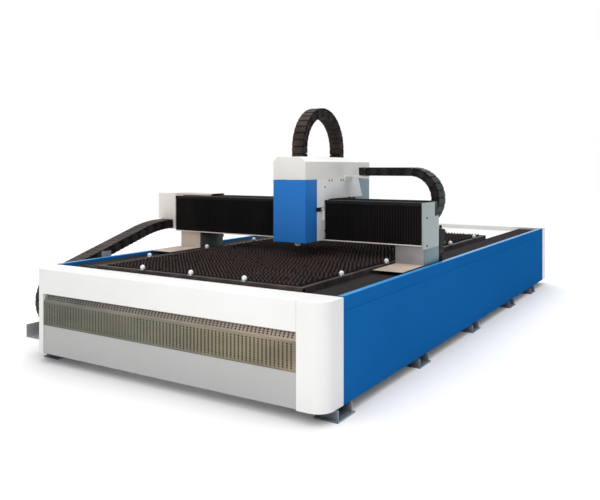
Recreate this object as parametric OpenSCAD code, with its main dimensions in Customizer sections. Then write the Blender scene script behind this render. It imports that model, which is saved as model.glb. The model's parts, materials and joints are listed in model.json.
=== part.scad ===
// Open-bed fiber laser cutting machine with a travelling gantry.
// X runs across the machine, Y from its front to its rear, Z up. All sizes are millimetres.

/* [Bed] */
// Width across the side panels
bed_w = 2870; // [2700:10:3200]
// Length of the side panels
panel_l = 5880; // [5700:10:6600]
// Height of the panels' top edge above the floor
bed_top = 800; // [780:5:880]
// Clear height under the panels
ground_gap = 80; // [70:1:100]
// Thickness of the covers' sheet metal
sheet_t = 4; // [3:0.5:5]
// Height of the strip above the side panels' seam
strip_h = 100; // [90:1:120]
// Distance from a panel's face to the bed beam behind it
beam_inset = 56; // [52:1:70]
// Width of a bed beam
bed_beam_w = 275; // [260:1:300]
// Wall of a bed beam
bed_beam_t = 10; // [8:1:14]
// Depth of the guide channel on top of a bed beam
channel_d = 160; // [156:1:180]

/* [Front and rear covers] */
// Depth of the front cover
front_d = 250; // [220:1:300]
// Radius of the front cover's upright corners
corner_r = 120; // [90:1:150]
// Fold along the front cover's top edge
edge_fold = 4; // [3:0.5:20]
// Width of the left corner cover's front face
recess_left = 130; // [125:1:180]
// Width of the right corner cover's front face
recess_right = 215; // [160:1:260]
// Height of the white band above the grille
band_h = 212; // [180:1:240]
// Height of the vent grille
grille_h = 266; // [220:1:300]
// Height of the grille's sloped strip
slope_h = 64; // [40:1:80]
// Depth of the grille's sloped strip
slope_d = 36; // [20:1:40]
// Distance between the grille's vent columns
vent_pitch = 30; // [24:1:40]
// Width of a vent column
vent_w = 12; // [8:1:16]
// Depth of the rear cover
rear_d = 215; // [160:1:280]
// Outer radius of the exhaust collar
collar_r = 125; // [100:1:150]
// Length of the exhaust collar
collar_l = 75; // [60:1:120]
// Drop of the deck behind the table
rear_deck_drop = 55; // [40:1:70]

/* [Feet] */
// Length of a foot bracket along the bed
foot_l = 240; // [200:1:280]
// Reach of a foot bracket under the bed
foot_w = 160; // [150:1:200]
// Reach of a foot plate beyond the panel
foot_reach = 25; // [15:1:40]
// Thickness of the feet's plates
foot_t = 12; // [10:1:16]
// Radius of the anchor holes
anchor_r = 11; // [8:0.5:14]
// Radius of a levelling bolt
bolt_r = 12; // [8:0.5:14]

/* [Table] */
// Length of the table frame
table_l = 4280; // [4100:10:4350]
// Width of the cover between the left way and the table
gap_w = 156; // [100:1:200]
// Height of the table frame above the bed
table_rise = 19; // [16:1:30]
// Height of the slat tips above the bed
slat_rise = 40; // [34:1:48]
// Height of a slat
slat_h = 120; // [110:1:130]
// Thickness of a slat
slat_t = 4; // [3:0.5:6]
// Number of slats
slat_count = 54; // [40:1:60]
// Number of teeth on a slat
tooth_count = 24; // [12:1:26]
// Depth of the slats' teeth
tooth_d = 28; // [20:1:34]
// Radius of a transfer ball
ball_r = 20; // [18:0.5:26]

/* [Guides] */
// Width of the gantry rails
rail_w = 45; // [35:1:50]
// Height of the gantry rails
rail_h = 38; // [30:1:42]
// Outer radius of the gantry pinions
pinion_r = 45; // [40:1:48]
// Height of the way covers
way_h = 28; // [24:1:32]
// Length of a way cover's pleat
way_pleat = 40; // [30:1:60]

/* [Gantry] */
// Distance from the panels' front end to the gantry's front
gantry_y = 1540; // [1480:5:1800]
// Height of the gantry beam's underside above the bed
beam_clear = 178; // [170:1:220]
// Height of the gantry beam
beam_h = 368; // [350:1:400]
// Depth of the gantry beam
beam_d = 220; // [200:1:222]
// Wall of the gantry beam
beam_t = 12; // [8:1:16]
// Reach of the beam beyond the left panel
beam_reach = 15; // [10:1:20]
// Width of the cover on the beam's left end
end_cover_w = 245; // [235:1:290]
// Length of a saddle along its rail
saddle_l = 580; // [520:5:580]
// Depth of a saddle's riser
riser_d = 380; // [370:1:392]
// Length of the floor plate in front of a saddle
floor_l = 460; // [400:5:500]
// Depth of a bellows
bellows_d = 44; // [36:1:46]
// Width of a bellows pleat
bellows_pleat = 25; // [20:1:40]

/* [Head] */
// Distance of the head's middle to the right of the bed's middle
head_offset = 233; // [0:1:300]
// Width of the head
head_w = 344; // [340:1:380]
// Reach of the head in front of the gantry
head_reach = 342; // [330:1:380]
// Depth of the blue front cover
cover_d = 207; // [200:1:220]
// Height of the blue front cover
cover_h = 566; // [560:1:600]
// Length of the hood
hood_l = 1300; // [1220:1:1340]
// Height of the hood
hood_h = 210; // [200:1:260]
// Chamfer along the hood's top edges
hood_chamfer = 45; // [20:1:60]
// Diameter of the Z screw
screw_d = 20; // [16:1:24]

/* [Drag chains] */
// Height of a chain link
link_h = 92; // [80:1:96]
// Length of a chain link
link_l = 60; // [50:1:90]
// Width of the chain beside the bed
side_chain_w = 170; // [140:1:180]
// Bend radius of the chain beside the bed
side_chain_r = 250; // [230:1:270]
// Slope of the chain beside the bed
side_chain_slope = 17; // [12:0.5:18]
// Width of the chain on the beam
beam_chain_w = 160; // [120:1:170]
// Bend radius of the chain on the beam
beam_chain_r = 250; // [240:1:260]
// Width of the arch chain
arch_w = 115; // [80:1:120]
// Bend radius of the arch chain
arch_r = 355; // [340:1:360]

/* [Hidden] */
$fn = 48;
// Overrun of cuts
cut = 1;
// Clearance between parts that slide on each other
run_gap = 0.4;
// Clearance of a soft cover on its seat
soft_gap = 0.3;
// Overlap where the blocks of one piece join
weld = 0.5;

// Main planes of the bed
left_over = beam_reach + end_cover_w;
bed_x = (left_over - foot_reach) / 2;
right_x = bed_x + bed_w / 2;
left_x = bed_x - bed_w / 2;
total_l = front_d + panel_l + rear_d + collar_l;
front_y = -total_l / 2;
panel_y0 = front_y + front_d;
panel_y1 = panel_y0 + panel_l;
rear_y = panel_y1 + rear_d;

// Bed beams: a box with a guide channel on top
beam_out_x = right_x - beam_inset;
beam_in_x = beam_out_x - bed_beam_w;
left_in_x = 2 * bed_x - beam_in_x;
channel_z = bed_top - channel_d;
bed_beam_z0 = 2 * ground_gap;
upright_t = 8;
way_drop = 22;
way_top = bed_top - way_drop;
way_seat_z = way_top - way_h;
upright_drop = 12;
cross_h = 120;
cross_w = 120;
tie_h = 60;
cross_inset = 200;
foot_trim = 280;
foot_pitch = (panel_l - foot_trim) / 4;
cross_ys = [
    panel_y0 + cross_inset,
    for (i = [1:3]) panel_y0 + i * foot_pitch,
    panel_y1 - 2 * cross_inset
];

// Covers
seam_gap = 1.5;
recess_d = 48;
cover_drop = 6;
cover_z = bed_top - cover_drop;
band_z0 = bed_top - band_h;
grille_z0 = band_z0 - grille_h;
grille_set = 8;
grille_t = 3;
grille_margin = 25;
grille_flange = 30;
pan_d = 30;
pan_lift = 5;
rear_corner_r = 60;
collar_z = 420;
band_x0 = left_x + recess_left;
band_x1 = right_x - recess_right;
strip_z0 = bed_top - strip_h;
strip_flange = 40;
strip_ledge = 16;
panel_return = 20;

// Table
table_front = 20;
table_y0 = panel_y0 + table_front;
table_y1 = table_y0 + table_l;
table_x0 = left_in_x + gap_w;
table_x1 = beam_in_x;
table_w = table_x1 - table_x0;
table_z = bed_top + table_rise;
slat_top = bed_top + slat_rise;
slat_z0 = slat_top - slat_h;
table_web = 8;
table_flange = 40;
slat_ledge = 45;
slat_side_gap = 2;
slat_end_l = 52;
slat_end_drop = 12;
slat_margin = 60;
bearer_t = 12;
bearer_shares = [1 / 3, 2 / 3];
front_ball_shares = [0.25, 0.5, 0.75];
first_ball = 600;
last_ball = 400;
ball_pitch = (table_l - first_ball - last_ball) / 4;
ball_lift = 2;
housing_wall = 4;
housing_share = 0.75;
gap_plate_t = 6;
tray_side = 22;
tray_h = 110;

// Gantry guides on the bed
rail_x = beam_in_x + bed_beam_w / 2;
rail_end = 30;
rack_w = 30;
rack_h = 40;
rack_lift = 10;
rack_z0 = channel_z + rail_h + rack_lift;
rack_x1 = beam_out_x - upright_t;
rack_x0 = rack_x1 - rack_w;
way_side = 2;
way_x0 = beam_in_x + way_side;
way_x1 = right_x - strip_flange - sheet_t - way_side;
pleat_h_share = 0.4;

// Gantry
gantry_front = panel_y0 + gantry_y;
beam_z0 = bed_top + beam_clear;
beam_z1 = beam_z0 + beam_h;
bellows_back = 81;
beam_y0 = gantry_front + bellows_d + bellows_back;
beam_y1 = beam_y0 + beam_d;
end_inset = 54;
end_x = right_x - end_inset;
beam_x0 = left_x - beam_reach;
block_w = 100;
block_h = 54;
block_l = 120;
block_lift = 14;
saddle_z0 = channel_z + block_lift + block_h;
saddle_t = 30;
side_gap = 4;
wide_gap = 6;
saddle_x0 = beam_in_x + upright_t + side_gap;
saddle_x1 = rack_x0 - wide_gap;
riser_x1 = beam_out_x - upright_t - wide_gap;
riser_t = 12;
apron_t = 4;
apron_gap = 16;
riser_y0 = gantry_front + apron_gap + apron_t;
riser_y1 = riser_y0 + riser_d;
saddle_lead = 160;
saddle_y0 = riser_y0 - saddle_lead;
saddle_y1 = saddle_y0 + saddle_l;
floor_gap = 3;
floor_z = bed_top + floor_gap;
floor_t = 5;
drive_plate_t = 16;
drive_z = saddle_z0 + saddle_t + side_gap;
drive_x = rack_x0 - pinion_r - soft_gap;
pinion_gap = 15;
drive_y = saddle_y1 + pinion_r + pinion_gap;
shaft_r = 14;
gearbox_w = 110;
gearbox_h = 120;
motor_w = 130;
motor_h = 205;
cap_h = 6;
lip_t = 8;
lip_reach = 8;
plate_flange = 12;
end_strip_w = 33;
arm_lead = 45;
plate_step_l = 275;
plate_step_y = gantry_front + plate_step_l;
plate_step_z = 127;
plate_l = 373;
plate_y1 = gantry_front + plate_l;
skirt_rise = 140;
seam_z = bed_top + skirt_rise;
end_cover_h = 283;
end_cover_rise = 27;
end_cover_z1 = beam_z1 + end_cover_rise;
top_plate_l = 395;
top_plate_h = 26;
bellows_band = 28;

// Head
head_x = bed_x + head_offset;
head_x0 = head_x - head_w / 2;
head_x1 = head_x + head_w / 2;
head_y0 = gantry_front - head_reach;
cover_y1 = head_y0 + cover_d;
head_drop = 4;
head_z0 = beam_z0 - head_drop;
head_z1 = head_z0 + cover_h;
hood_y1 = head_y0 + hood_l;
carriage_y0 = gantry_front + bellows_d + wide_gap;
carriage_t = 25;
carriage_y1 = carriage_y0 + carriage_t;
guide_w = 30;
guide_h = 26;
guide_low = 62;
guide_low_z = beam_z0 + guide_low;
guide_high = 96;
guide_high_z = beam_z1 - guide_high;
rack_bar_h = 26;
rack_bar_drop = 36;
rack_bar_z0 = beam_z1 - rack_bar_drop;
small_pinion_r = 32;
carriage_top_t = 12;
pinion_room_share = 1.3;
carriage_top_z = beam_z1 - wide_gap;
carriage_lap = 62;
pass_gap = 4;
over_beam_z = beam_z1 + cap_h + pass_gap;
housing_l = 1040;
housing_y1 = head_y0 + housing_l;
housing_slant = 90;
shield_lap = 60;
deck_gap = 20;
deck_y0 = beam_y1 + deck_gap;
drive_off_x = 92;
carriage_gear_w = 90;
carriage_gear_h = 98;
carriage_motor_h = 170;
screw_off_x = -60;
screw_lead = 25;
screw_y = carriage_y0 - screw_lead;
screw_lift = 60;
z_motor_w = 70;
z_motor_h = 150;
z_rail_off = 135;
z_rail_w = 20;
z_rail_d = 20;
z_plate_t = 18;
z_plate_gap = 48;
z_plate_y1 = carriage_y0 - z_plate_gap;
z_plate_lift = 120;
z_plate_top = 40;
z_plate_side = 25;
z_rail_lift = 40;
z_rail_top = 20;
z_column_t = 12;
z_plate_y0 = z_plate_y1 - z_plate_t;
z_block_h = 70;
axis_off_x = 30;
axis_off_y = 102;
head_axis_x = head_x + axis_off_x;
head_axis_y = head_y0 + axis_off_y;
laser_w = 104;
laser_lift = 30;
laser_z0 = head_z0 + laser_lift;
laser_clamp_shares = [0.25, 0.55];
laser_h = 420;
laser_body_share = 0.62;
laser_top_share = 0.48;
nozzle_drop = 44;
nozzle_r = 16;
nozzle_tip_r = 5;
latch_l = 110;
latch_h = 36;
latch_t = 8;
latch_pivot_r = 8;
latch_lift = 290;
latch_z = head_z0 + latch_lift;
latch_gap = 0.6;
latch_lap = 18;
pin_gap = 0.05;
hinge_r = 8;
hinge_pin_r = 4;
hinge_l = 30;
hinge_leaf = 26;
hinge_shares = [0.12, 0.78];
door_t = 3;
door_gap = 2;
hinge_x = head_x0 - hinge_r;
hinge_y = cover_y1 - door_gap / 2;
hinge_zs = [for (share = hinge_shares) head_z0 + share * cover_h];
latch_y = cover_y1 + latch_l - latch_lap - latch_h / 2;

// Drag chains
notch = 12;
notch_share = 0.16;
side_chain_off = 52;
side_lead = 60;
side_chain_x = left_x - side_chain_off - side_chain_w;
side_chain_lift = 18;
side_chain_z = beam_z0 + side_chain_lift + link_h / 2;
side_start_y = gantry_front + side_lead;
side_flat_l = 95;
side_turn_r = 1300;
side_drop_l = 1010;
side_low_l = 2700;
tray_wall = 4;
tray_lip = 110;
tray_lead = 150;
tray_y0 = panel_y0 - tray_lead;
tray_l = 4550;
tray_y1 = tray_y0 + tray_l;
guide_post_in = 545;
guide_post_y = panel_y0 + guide_post_in;
guide_post_l = 117;
guide_post_rise = 45;
beam_chain_gap = 45;
beam_chain_y0 = beam_y1 + beam_chain_gap;
beam_chain_rise = 32;
beam_link_share = 0.87;
beam_link_h = beam_link_share * link_h;
beam_chain_z = head_z1 + beam_chain_rise + beam_link_h / 2;
bracket_l = 200;
bracket_t = 8;
beam_fix_off = 20;
beam_fix_x = bed_x - beam_fix_off;
bracket_lap = 40;
bracket_drop = 20;
bend_inset = 340;
tray_over = 20;
arch_x0 = head_x - arch_w / 2;
arch_in = 182;
arch_y0 = head_y0 + arch_in;
arch_base_z = head_z1;
arch_rise = 74;
arch_leg = hood_h + arch_rise;
leg_gap = 12;

// Solid between two corners
module block(low, high) {
    translate(low)
        cube(high - low);
}

// Flat rectangle between two corners
module rect(low, high) {
    translate(low)
        square(high - low);
}

// Section in X and Z, run along Y
module along_y(from, to) {
    translate([0, to, 0])
        rotate([90, 0, 0])
            linear_extrude(to - from)
                children();
}

// Section in Y and Z, run along X
module along_x(from, to) {
    translate([from, 0, 0])
        rotate([90, 0, 90])
            linear_extrude(to - from)
                children();
}

// Plan in X and Y, raised along Z
module upright(from, to) {
    translate([0, 0, from])
        linear_extrude(to - from)
            children();
}

// Round bar along Y
module bar_y(x, z, from, to, r) {
    translate([x, to, z])
        rotate([90, 0, 0])
            cylinder(h = to - from, r = r);
}

// Mirror image on the left of the bed's middle
module on_left() {
    translate([2 * bed_x, 0, 0])
        mirror([1, 0, 0])
            children();
}

module both_sides() {
    children();
    on_left()
        children();
}

// Place and heading after a length s along a run of [length, turn in degrees] stretches
function walk(run, s, p = [0, 0], a = 0, i = 0) =
    let (
        l = run[i][0],
        turn = run[i][1],
        d = i == len(run) - 1 ? s : min(s, l),
        b = a + turn * d / l,
        r = turn == 0 ? 0 : l * 180 / (PI * turn),
        q = turn == 0 ? p + d * [cos(a), sin(a)] : p + r * [sin(b) - sin(a), cos(a) - cos(b)]
    )
    s <= l || i == len(run) - 1 ? [q, b] : walk(run, s - l, q, b, i + 1);

function run_length(run, i = 0) = i == len(run) ? 0 : run[i][0] + run_length(run, i + 1);

function arc_l(r, turn) = PI * r * abs(turn) / 180;

// One edge of a chain: full height over each link, notched where links meet
function chain_edge(run, h, side) =
    let (
        n = round(run_length(run) / link_l),
        step = run_length(run) / n
    )
    [
        for (i = [0:n - 1], f = [0, notch_share, 1 - notch_share])
            let (
                w = walk(run, (i + f) * step),
                off = side * (f == 0 && i > 0 ? h / 2 - notch : h / 2)
            )
            w[0] + off * [-sin(w[1]), cos(w[1])],
        let (w = walk(run, run_length(run)))
            w[0] + side * h / 2 * [-sin(w[1]), cos(w[1])]
    ];

// Side view of a chain that follows a run
module chain_side(run, h) {
    low = chain_edge(run, h, -1);
    high = chain_edge(run, h, 1);
    polygon(concat(low, [for (i = [len(high) - 1:-1:0]) high[i]]));
}

// Toothed wheel with its shaft below the origin's plane
module pinion(r, h, shaft_l) {
    teeth = 20;
    root_share = 0.86;
    tooth_shares = [0.05, 0.36, 0.64, 0.95];
    linear_extrude(h)
        polygon([
            for (i = [0:teeth - 1], k = [0:3])
                let (a = (i + tooth_shares[k]) * 360 / teeth)
                (k == 1 || k == 2 ? r : root_share * r) * [cos(a), sin(a)]
        ]);
    cylinder(h = h + shaft_l, r = shaft_r);
}

// Box beam of the right side with the guide channel on top
module bed_beam() {
    along_y(panel_y0 + sheet_t, panel_y1 - sheet_t)
        difference() {
            union() {
                rect([beam_in_x, bed_beam_z0], [beam_out_x, channel_z]);
                rect([beam_out_x - upright_t, bed_beam_z0], [beam_out_x, way_seat_z - upright_drop]);
                rect([beam_in_x, bed_beam_z0], [beam_in_x + upright_t, way_seat_z]);
            }
            rect(
                [beam_in_x + bed_beam_t, bed_beam_z0 + bed_beam_t],
                [beam_out_x - bed_beam_t, channel_z - bed_beam_t]
            );
        }
}

module left_bed_beam() {
    color("dimgray")
        on_left()
            bed_beam();
}

module right_bed_beam() {
    color("dimgray")
        bed_beam();
}

module cross_members() {
    color("dimgray")
        for (y = cross_ys) {
            block(
                [left_in_x, y - cross_w / 2, channel_z - cross_h],
                [beam_in_x, y + cross_w / 2, channel_z]
            );
            block(
                [left_in_x, y - cross_w / 2, bed_beam_z0],
                [beam_in_x, y + cross_w / 2, bed_beam_z0 + tie_h]
            );
        }
}

last_foot = 650;
anchor_share = 0.25;
bolt_share = 0.625;
foot_ys = [for (i = [0:4]) panel_y0 + min(i * foot_pitch, panel_l - last_foot)];
anchor_x = right_x - anchor_share * foot_w;
bolt_x = right_x - bolt_share * foot_w;

// Upright web of a foot: out past the panel below its lower edge, behind the panel above it
module foot_web() {
    polygon([
        [right_x - foot_w, foot_t / 2],
        [right_x + foot_reach / 2, foot_t / 2],
        [right_x + foot_reach / 2, ground_gap - sheet_t],
        [beam_out_x, ground_gap - sheet_t],
        [beam_out_x, bed_beam_z0],
        [right_x - foot_w, bed_beam_z0]
    ]);
}

module foot_brackets() {
    web_gap = foot_l / 2 - 2 * foot_t;
    color([0.30, 0.32, 0.34])
        both_sides()
            for (y = foot_ys)
                difference() {
                    union() {
                        block(
                            [right_x - foot_w, y - foot_l / 2, 0],
                            [right_x + foot_reach, y + foot_l / 2, foot_t]
                        );
                        for (side = [-1, 1])
                            along_y(y + side * web_gap - foot_t / 2, y + side * web_gap + foot_t / 2)
                                foot_web();
                        block(
                            [right_x - foot_w, y - foot_l / 2, bed_beam_z0 - foot_t],
                            [beam_out_x, y + foot_l / 2, bed_beam_z0]
                        );
                    }
                    translate([anchor_x, y, -cut])
                        cylinder(h = foot_t + 2 * cut, r = anchor_r);
                    translate([bolt_x, y, -cut])
                        cylinder(h = foot_t + 2 * cut, r = bolt_r + soft_gap);
                }
}

module levelling_bolts() {
    nut_share = 1.7;
    color([0.55, 0.56, 0.58])
        both_sides()
            for (y = foot_ys)
                translate([bolt_x, y, 0]) {
                    cylinder(h = ground_gap - foot_t, r = bolt_r);
                    translate([0, 0, foot_t])
                        cylinder(h = foot_t, r = nut_share * bolt_r, $fn = 6);
                }
}

// Folded sheet section: u runs inward from the outer face, over the top edge to a depth
module fold_section(z0, depth) {
    miter = sheet_t * tan(22.5);
    polygon([
        [0, z0], [0, cover_z - edge_fold], [edge_fold, cover_z], [depth, cover_z],
        [depth, cover_z - sheet_t], [edge_fold + miter, cover_z - sheet_t],
        [sheet_t, cover_z - edge_fold - miter], [sheet_t, z0]
    ]);
}

// Section of the front cover: a fold over the top, a return under the band and a flange at the rear
module band_section() {
    miter = sheet_t * tan(22.5);
    polygon([
        [0, band_z0], [0, cover_z - edge_fold], [edge_fold, cover_z], [front_d, cover_z],
        [front_d, cover_z - 2 * recess_d], [front_d - sheet_t, cover_z - 2 * recess_d],
        [front_d - sheet_t, cover_z - sheet_t], [edge_fold + miter, cover_z - sheet_t],
        [sheet_t, cover_z - edge_fold - miter], [sheet_t, band_z0 + sheet_t],
        [recess_d, band_z0 + sheet_t], [recess_d, band_z0]
    ]);
}

module front_cover() {
    color([0.94, 0.94, 0.93])
        along_x(band_x0 + seam_gap, band_x1 - seam_gap)
            translate([front_y, 0])
                band_section();
}

// Corner cover whose front face ends at x on the right of the bed
module corner_cover(x) {
    axis_x = right_x - corner_r;
    axis_y = front_y + corner_r;
    along_x(x, axis_x)
        translate([front_y, 0])
            fold_section(ground_gap, front_d);
    translate([axis_x, axis_y, 0])
        rotate([0, 0, -90])
            rotate_extrude(angle = 90, $fn = 96)
                translate([corner_r, 0])
                    mirror([1, 0])
                        fold_section(ground_gap, corner_r);
    along_y(axis_y, panel_y0)
        translate([right_x, 0])
            mirror([1, 0])
                fold_section(ground_gap, corner_r);
    block([x, front_y, ground_gap], [x + sheet_t, front_y + recess_d, band_z0]);
}

module corner_covers() {
    color([0.94, 0.94, 0.93]) {
        corner_cover(band_x1);
        on_left()
            corner_cover(2 * bed_x - band_x0);
    }
}

module front_grille() {
    face = front_y + grille_set;
    knee = band_z0 - slope_h;
    vents = floor((band_x1 - band_x0 - 2 * grille_margin) / vent_pitch);
    first = (band_x0 + band_x1 - (vents - 1) * vent_pitch) / 2;
    color([0.56, 0.53, 0.40])
        difference() {
            along_x(band_x0, band_x1)
                polygon([
                    [face + grille_flange, grille_z0], [face, grille_z0], [face, knee],
                    [face + slope_d, band_z0], [face + slope_d + grille_t, band_z0],
                    [face + grille_t, knee], [face + grille_t, grille_z0 + grille_t],
                    [face + grille_flange, grille_z0 + grille_t]
                ]);
            for (i = [0:vents - 1])
                translate([first + i * vent_pitch - vent_w / 2, face - cut, grille_z0 + grille_margin])
                    cube([vent_w, grille_t + 2 * cut, grille_h - slope_h - 1.5 * grille_margin]);
        }
}

module front_lower_panel() {
    face = front_y + grille_set;
    low = [band_x0, face, ground_gap + pan_lift];
    high = [band_x1, face + pan_d, grille_z0];
    wall = [sheet_t, sheet_t, sheet_t];
    color([0.76, 0.76, 0.77])
        difference() {
            block(low, high);
            block(low + wall, [high.x - sheet_t, high.y + cut, high.z - sheet_t]);
        }
}

// Plan of the rear cover, drawn in by an inset, open towards the bed
module rear_plan(inset, open) {
    r = rear_corner_r - inset;
    rect([left_x + inset, panel_y1 - open], [right_x - inset, rear_y - rear_corner_r]);
    rect([left_x + rear_corner_r, panel_y1 - open], [right_x - rear_corner_r, rear_y - inset]);
    for (x = [left_x + rear_corner_r, right_x - rear_corner_r])
        translate([x, rear_y - rear_corner_r])
            circle(r);
}

module rear_cover() {
    color([0.94, 0.94, 0.93]) {
        difference() {
            union() {
                upright(ground_gap, bed_top)
                    difference() {
                        rear_plan(0, 0);
                        rear_plan(sheet_t, cut);
                    }
                upright(bed_top - sheet_t, bed_top)
                    rear_plan(0, 0);
                block(
                    [left_x + strip_flange, panel_y1, channel_z],
                    [right_x - strip_flange, panel_y1 + sheet_t, bed_top]
                );
                bar_y(bed_x, collar_z, rear_y - sheet_t, rear_y + collar_l, collar_r);
            }
            bar_y(bed_x, collar_z, rear_y - 2 * sheet_t, rear_y + collar_l + cut, collar_r - sheet_t);
        }
    }
}

module rear_deck() {
    deck_z = bed_top - rear_deck_drop;
    color([0.92, 0.91, 0.89])
        along_y(table_y1, panel_y1) {
            rect([left_in_x, deck_z - sheet_t], [beam_in_x, deck_z]);
            rect([left_in_x, channel_z], [left_in_x + sheet_t, deck_z]);
            rect([beam_in_x - sheet_t, channel_z], [beam_in_x, deck_z]);
        }
}

module side_panel() {
    top = strip_z0 - seam_gap;
    along_y(panel_y0, panel_y1) {
        rect([right_x - sheet_t, ground_gap], [right_x, top]);
        rect([beam_out_x, top - sheet_t], [right_x, top]);
        rect([right_x - panel_return, ground_gap], [right_x, ground_gap + sheet_t]);
    }
}

module left_side_panel() {
    color([0.10, 0.37, 0.64])
        on_left()
            side_panel();
}

module right_side_panel() {
    color([0.10, 0.37, 0.64])
        side_panel();
}

module edge_strips() {
    lip_x = right_x - strip_flange - sheet_t;
    color([0.13, 0.45, 0.72])
        both_sides()
            along_y(panel_y0, panel_y1) {
                rect([right_x - sheet_t, strip_z0], [right_x, bed_top]);
                rect([beam_out_x, strip_z0], [right_x, strip_z0 + sheet_t]);
                rect([lip_x, bed_top - sheet_t], [right_x, bed_top]);
                rect([lip_x, way_seat_z - sheet_t], [lip_x + sheet_t, bed_top]);
                rect([lip_x - strip_ledge, way_seat_z - sheet_t], [lip_x + sheet_t, way_seat_z]);
            }
}

module left_gap_cover() {
    color([0.16, 0.15, 0.15])
        along_y(table_y0, table_y1) {
            rect([left_in_x, bed_top - gap_plate_t], [table_x0, bed_top]);
            rect([left_in_x, channel_z], [left_in_x + gap_plate_t, bed_top]);
            rect([table_x0 - gap_plate_t, channel_z], [table_x0, bed_top]);
        }
}

// Table rail section: u runs inward from the rail's outer face
module rail_section(ledge) {
    rect([0, channel_z], [table_web, table_z]);
    rect([0, table_z - table_web], [table_flange, table_z]);
    rect([0, slat_z0 - table_web], [table_web + ledge, slat_z0]);
}

module table_side_rails() {
    color([0.17, 0.15, 0.14])
        along_y(table_y0 + table_flange, table_y1 - table_flange) {
            translate([table_x0, 0])
                rail_section(slat_ledge);
            translate([table_x1, 0])
                mirror([1, 0])
                    rail_section(slat_ledge);
        }
}

module table_end_rails() {
    color([0.17, 0.15, 0.14])
        along_x(table_x0, table_x1) {
            translate([table_y0, 0])
                rail_section(0);
            translate([table_y1, 0])
                mirror([1, 0])
                    rail_section(0);
        }
}

module slat_bearers() {
    color([0.25, 0.22, 0.20])
        for (share = bearer_shares)
            translate([table_x0 + share * table_w - bearer_t / 2, table_y0 + table_web, channel_z])
                cube([bearer_t, table_l - 2 * table_web, slat_z0 - channel_z]);
}

// Side view of one slat with its toothed top edge
module slat_face() {
    x0 = table_x0 + table_web + slat_side_gap;
    x1 = table_x1 - table_web - slat_side_gap;
    end_z = table_z - table_web - slat_end_drop;
    pitch = (x1 - x0 - 2 * slat_end_l) / tooth_count;
    polygon(concat(
        [[x1, slat_z0], [x1, end_z], [x1 - slat_end_l, end_z]],
        [
            for (i = [0:tooth_count - 1], k = [0, 1])
                [x1 - slat_end_l - (i + k / 2) * pitch, k == 0 ? slat_top - tooth_d : slat_top]
        ],
        [[x0 + slat_end_l, slat_top - tooth_d], [x0 + slat_end_l, end_z], [x0, end_z], [x0, slat_z0]]
    ));
}

module slats() {
    pitch = (table_l - 2 * slat_margin - slat_t) / (slat_count - 1);
    color([0.20, 0.16, 0.14])
        for (i = [0:slat_count - 1])
            along_y(table_y0 + slat_margin + i * pitch, table_y0 + slat_margin + i * pitch + slat_t)
                slat_face();
}

ball_z = table_z + ball_lift + ball_r;
ball_places = [
    for (share = front_ball_shares, y = [table_y0 + table_flange / 2, table_y1 - table_flange / 2])
        [table_x0 + share * table_w, y],
    for (i = [0:4], x = [table_x0 + table_flange / 2, table_x1 - table_flange / 2])
        [x, table_y0 + first_ball + i * ball_pitch]
];

module ball_housings() {
    color([0.93, 0.93, 0.94])
        for (place = ball_places)
            difference() {
                translate([place.x, place.y, table_z])
                    cylinder(h = housing_share * ball_r, r = ball_r + housing_wall);
                translate([place.x, place.y, ball_z])
                    sphere(ball_r + soft_gap);
            }
}

module transfer_balls() {
    color([0.96, 0.96, 0.97])
        for (place = ball_places)
            translate([place.x, place.y, ball_z])
                sphere(ball_r);
}

module scrap_trays() {
    z0 = bed_beam_z0 + tie_h;
    wall = [sheet_t, sheet_t, sheet_t];
    color([0.33, 0.32, 0.31])
        for (i = [0, 2]) {
            low = [left_in_x + tray_side, cross_ys[i] + sheet_t, z0];
            high = [beam_in_x - tray_side, cross_ys[i + 2] - sheet_t, z0 + tray_h];
            difference() {
                block(low, high);
                block(low + wall, [high.x - sheet_t, high.y - sheet_t, high.z + cut]);
            }
        }
}

module gantry_rails() {
    color([0.62, 0.63, 0.65])
        both_sides()
            block(
                [rail_x - rail_w / 2, panel_y0 + rail_end, channel_z],
                [rail_x + rail_w / 2, panel_y1 - rail_end, channel_z + rail_h]
            );
}

module gantry_racks() {
    color([0.50, 0.51, 0.53])
        both_sides()
            block(
                [rack_x0, panel_y0 + rail_end, rack_z0],
                [rack_x1, panel_y1 - rail_end, rack_z0 + rack_h]
            );
}

// Pleated way cover over the right way, between two places along the bed
module way_cover(from, to) {
    n = round((to - from) / way_pleat);
    step = (to - from) / n;
    z0 = way_seat_z + soft_gap;
    valley = way_top - pleat_h_share * way_h;
    along_x(way_x0, way_x1)
        polygon(concat(
            [[from, z0]],
            [
                for (i = [0:n - 1], k = [0, 1])
                    [from + (i + k / 2) * step, k == 0 ? valley : way_top - cut]
            ],
            [[to, valley], [to, z0]]
        ));
}

module front_way_covers() {
    color([0.13, 0.12, 0.12])
        both_sides()
            way_cover(panel_y0, riser_y0 - way_side);
}

module rear_way_covers() {
    color([0.13, 0.12, 0.12])
        both_sides()
            way_cover(drive_y + motor_w, panel_y1);
}

// Run of the chain beside the bed, from the gantry forward, down and back to its fixed end
side_run = [
    [side_flat_l, 0],
    [arc_l(side_turn_r, side_chain_slope), side_chain_slope],
    [side_drop_l, 0],
    [arc_l(side_chain_r, 180 - side_chain_slope), 180 - side_chain_slope],
    [side_low_l, 0]
];
side_low = side_chain_z - walk(side_run, run_length(side_run))[0].y;

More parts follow.
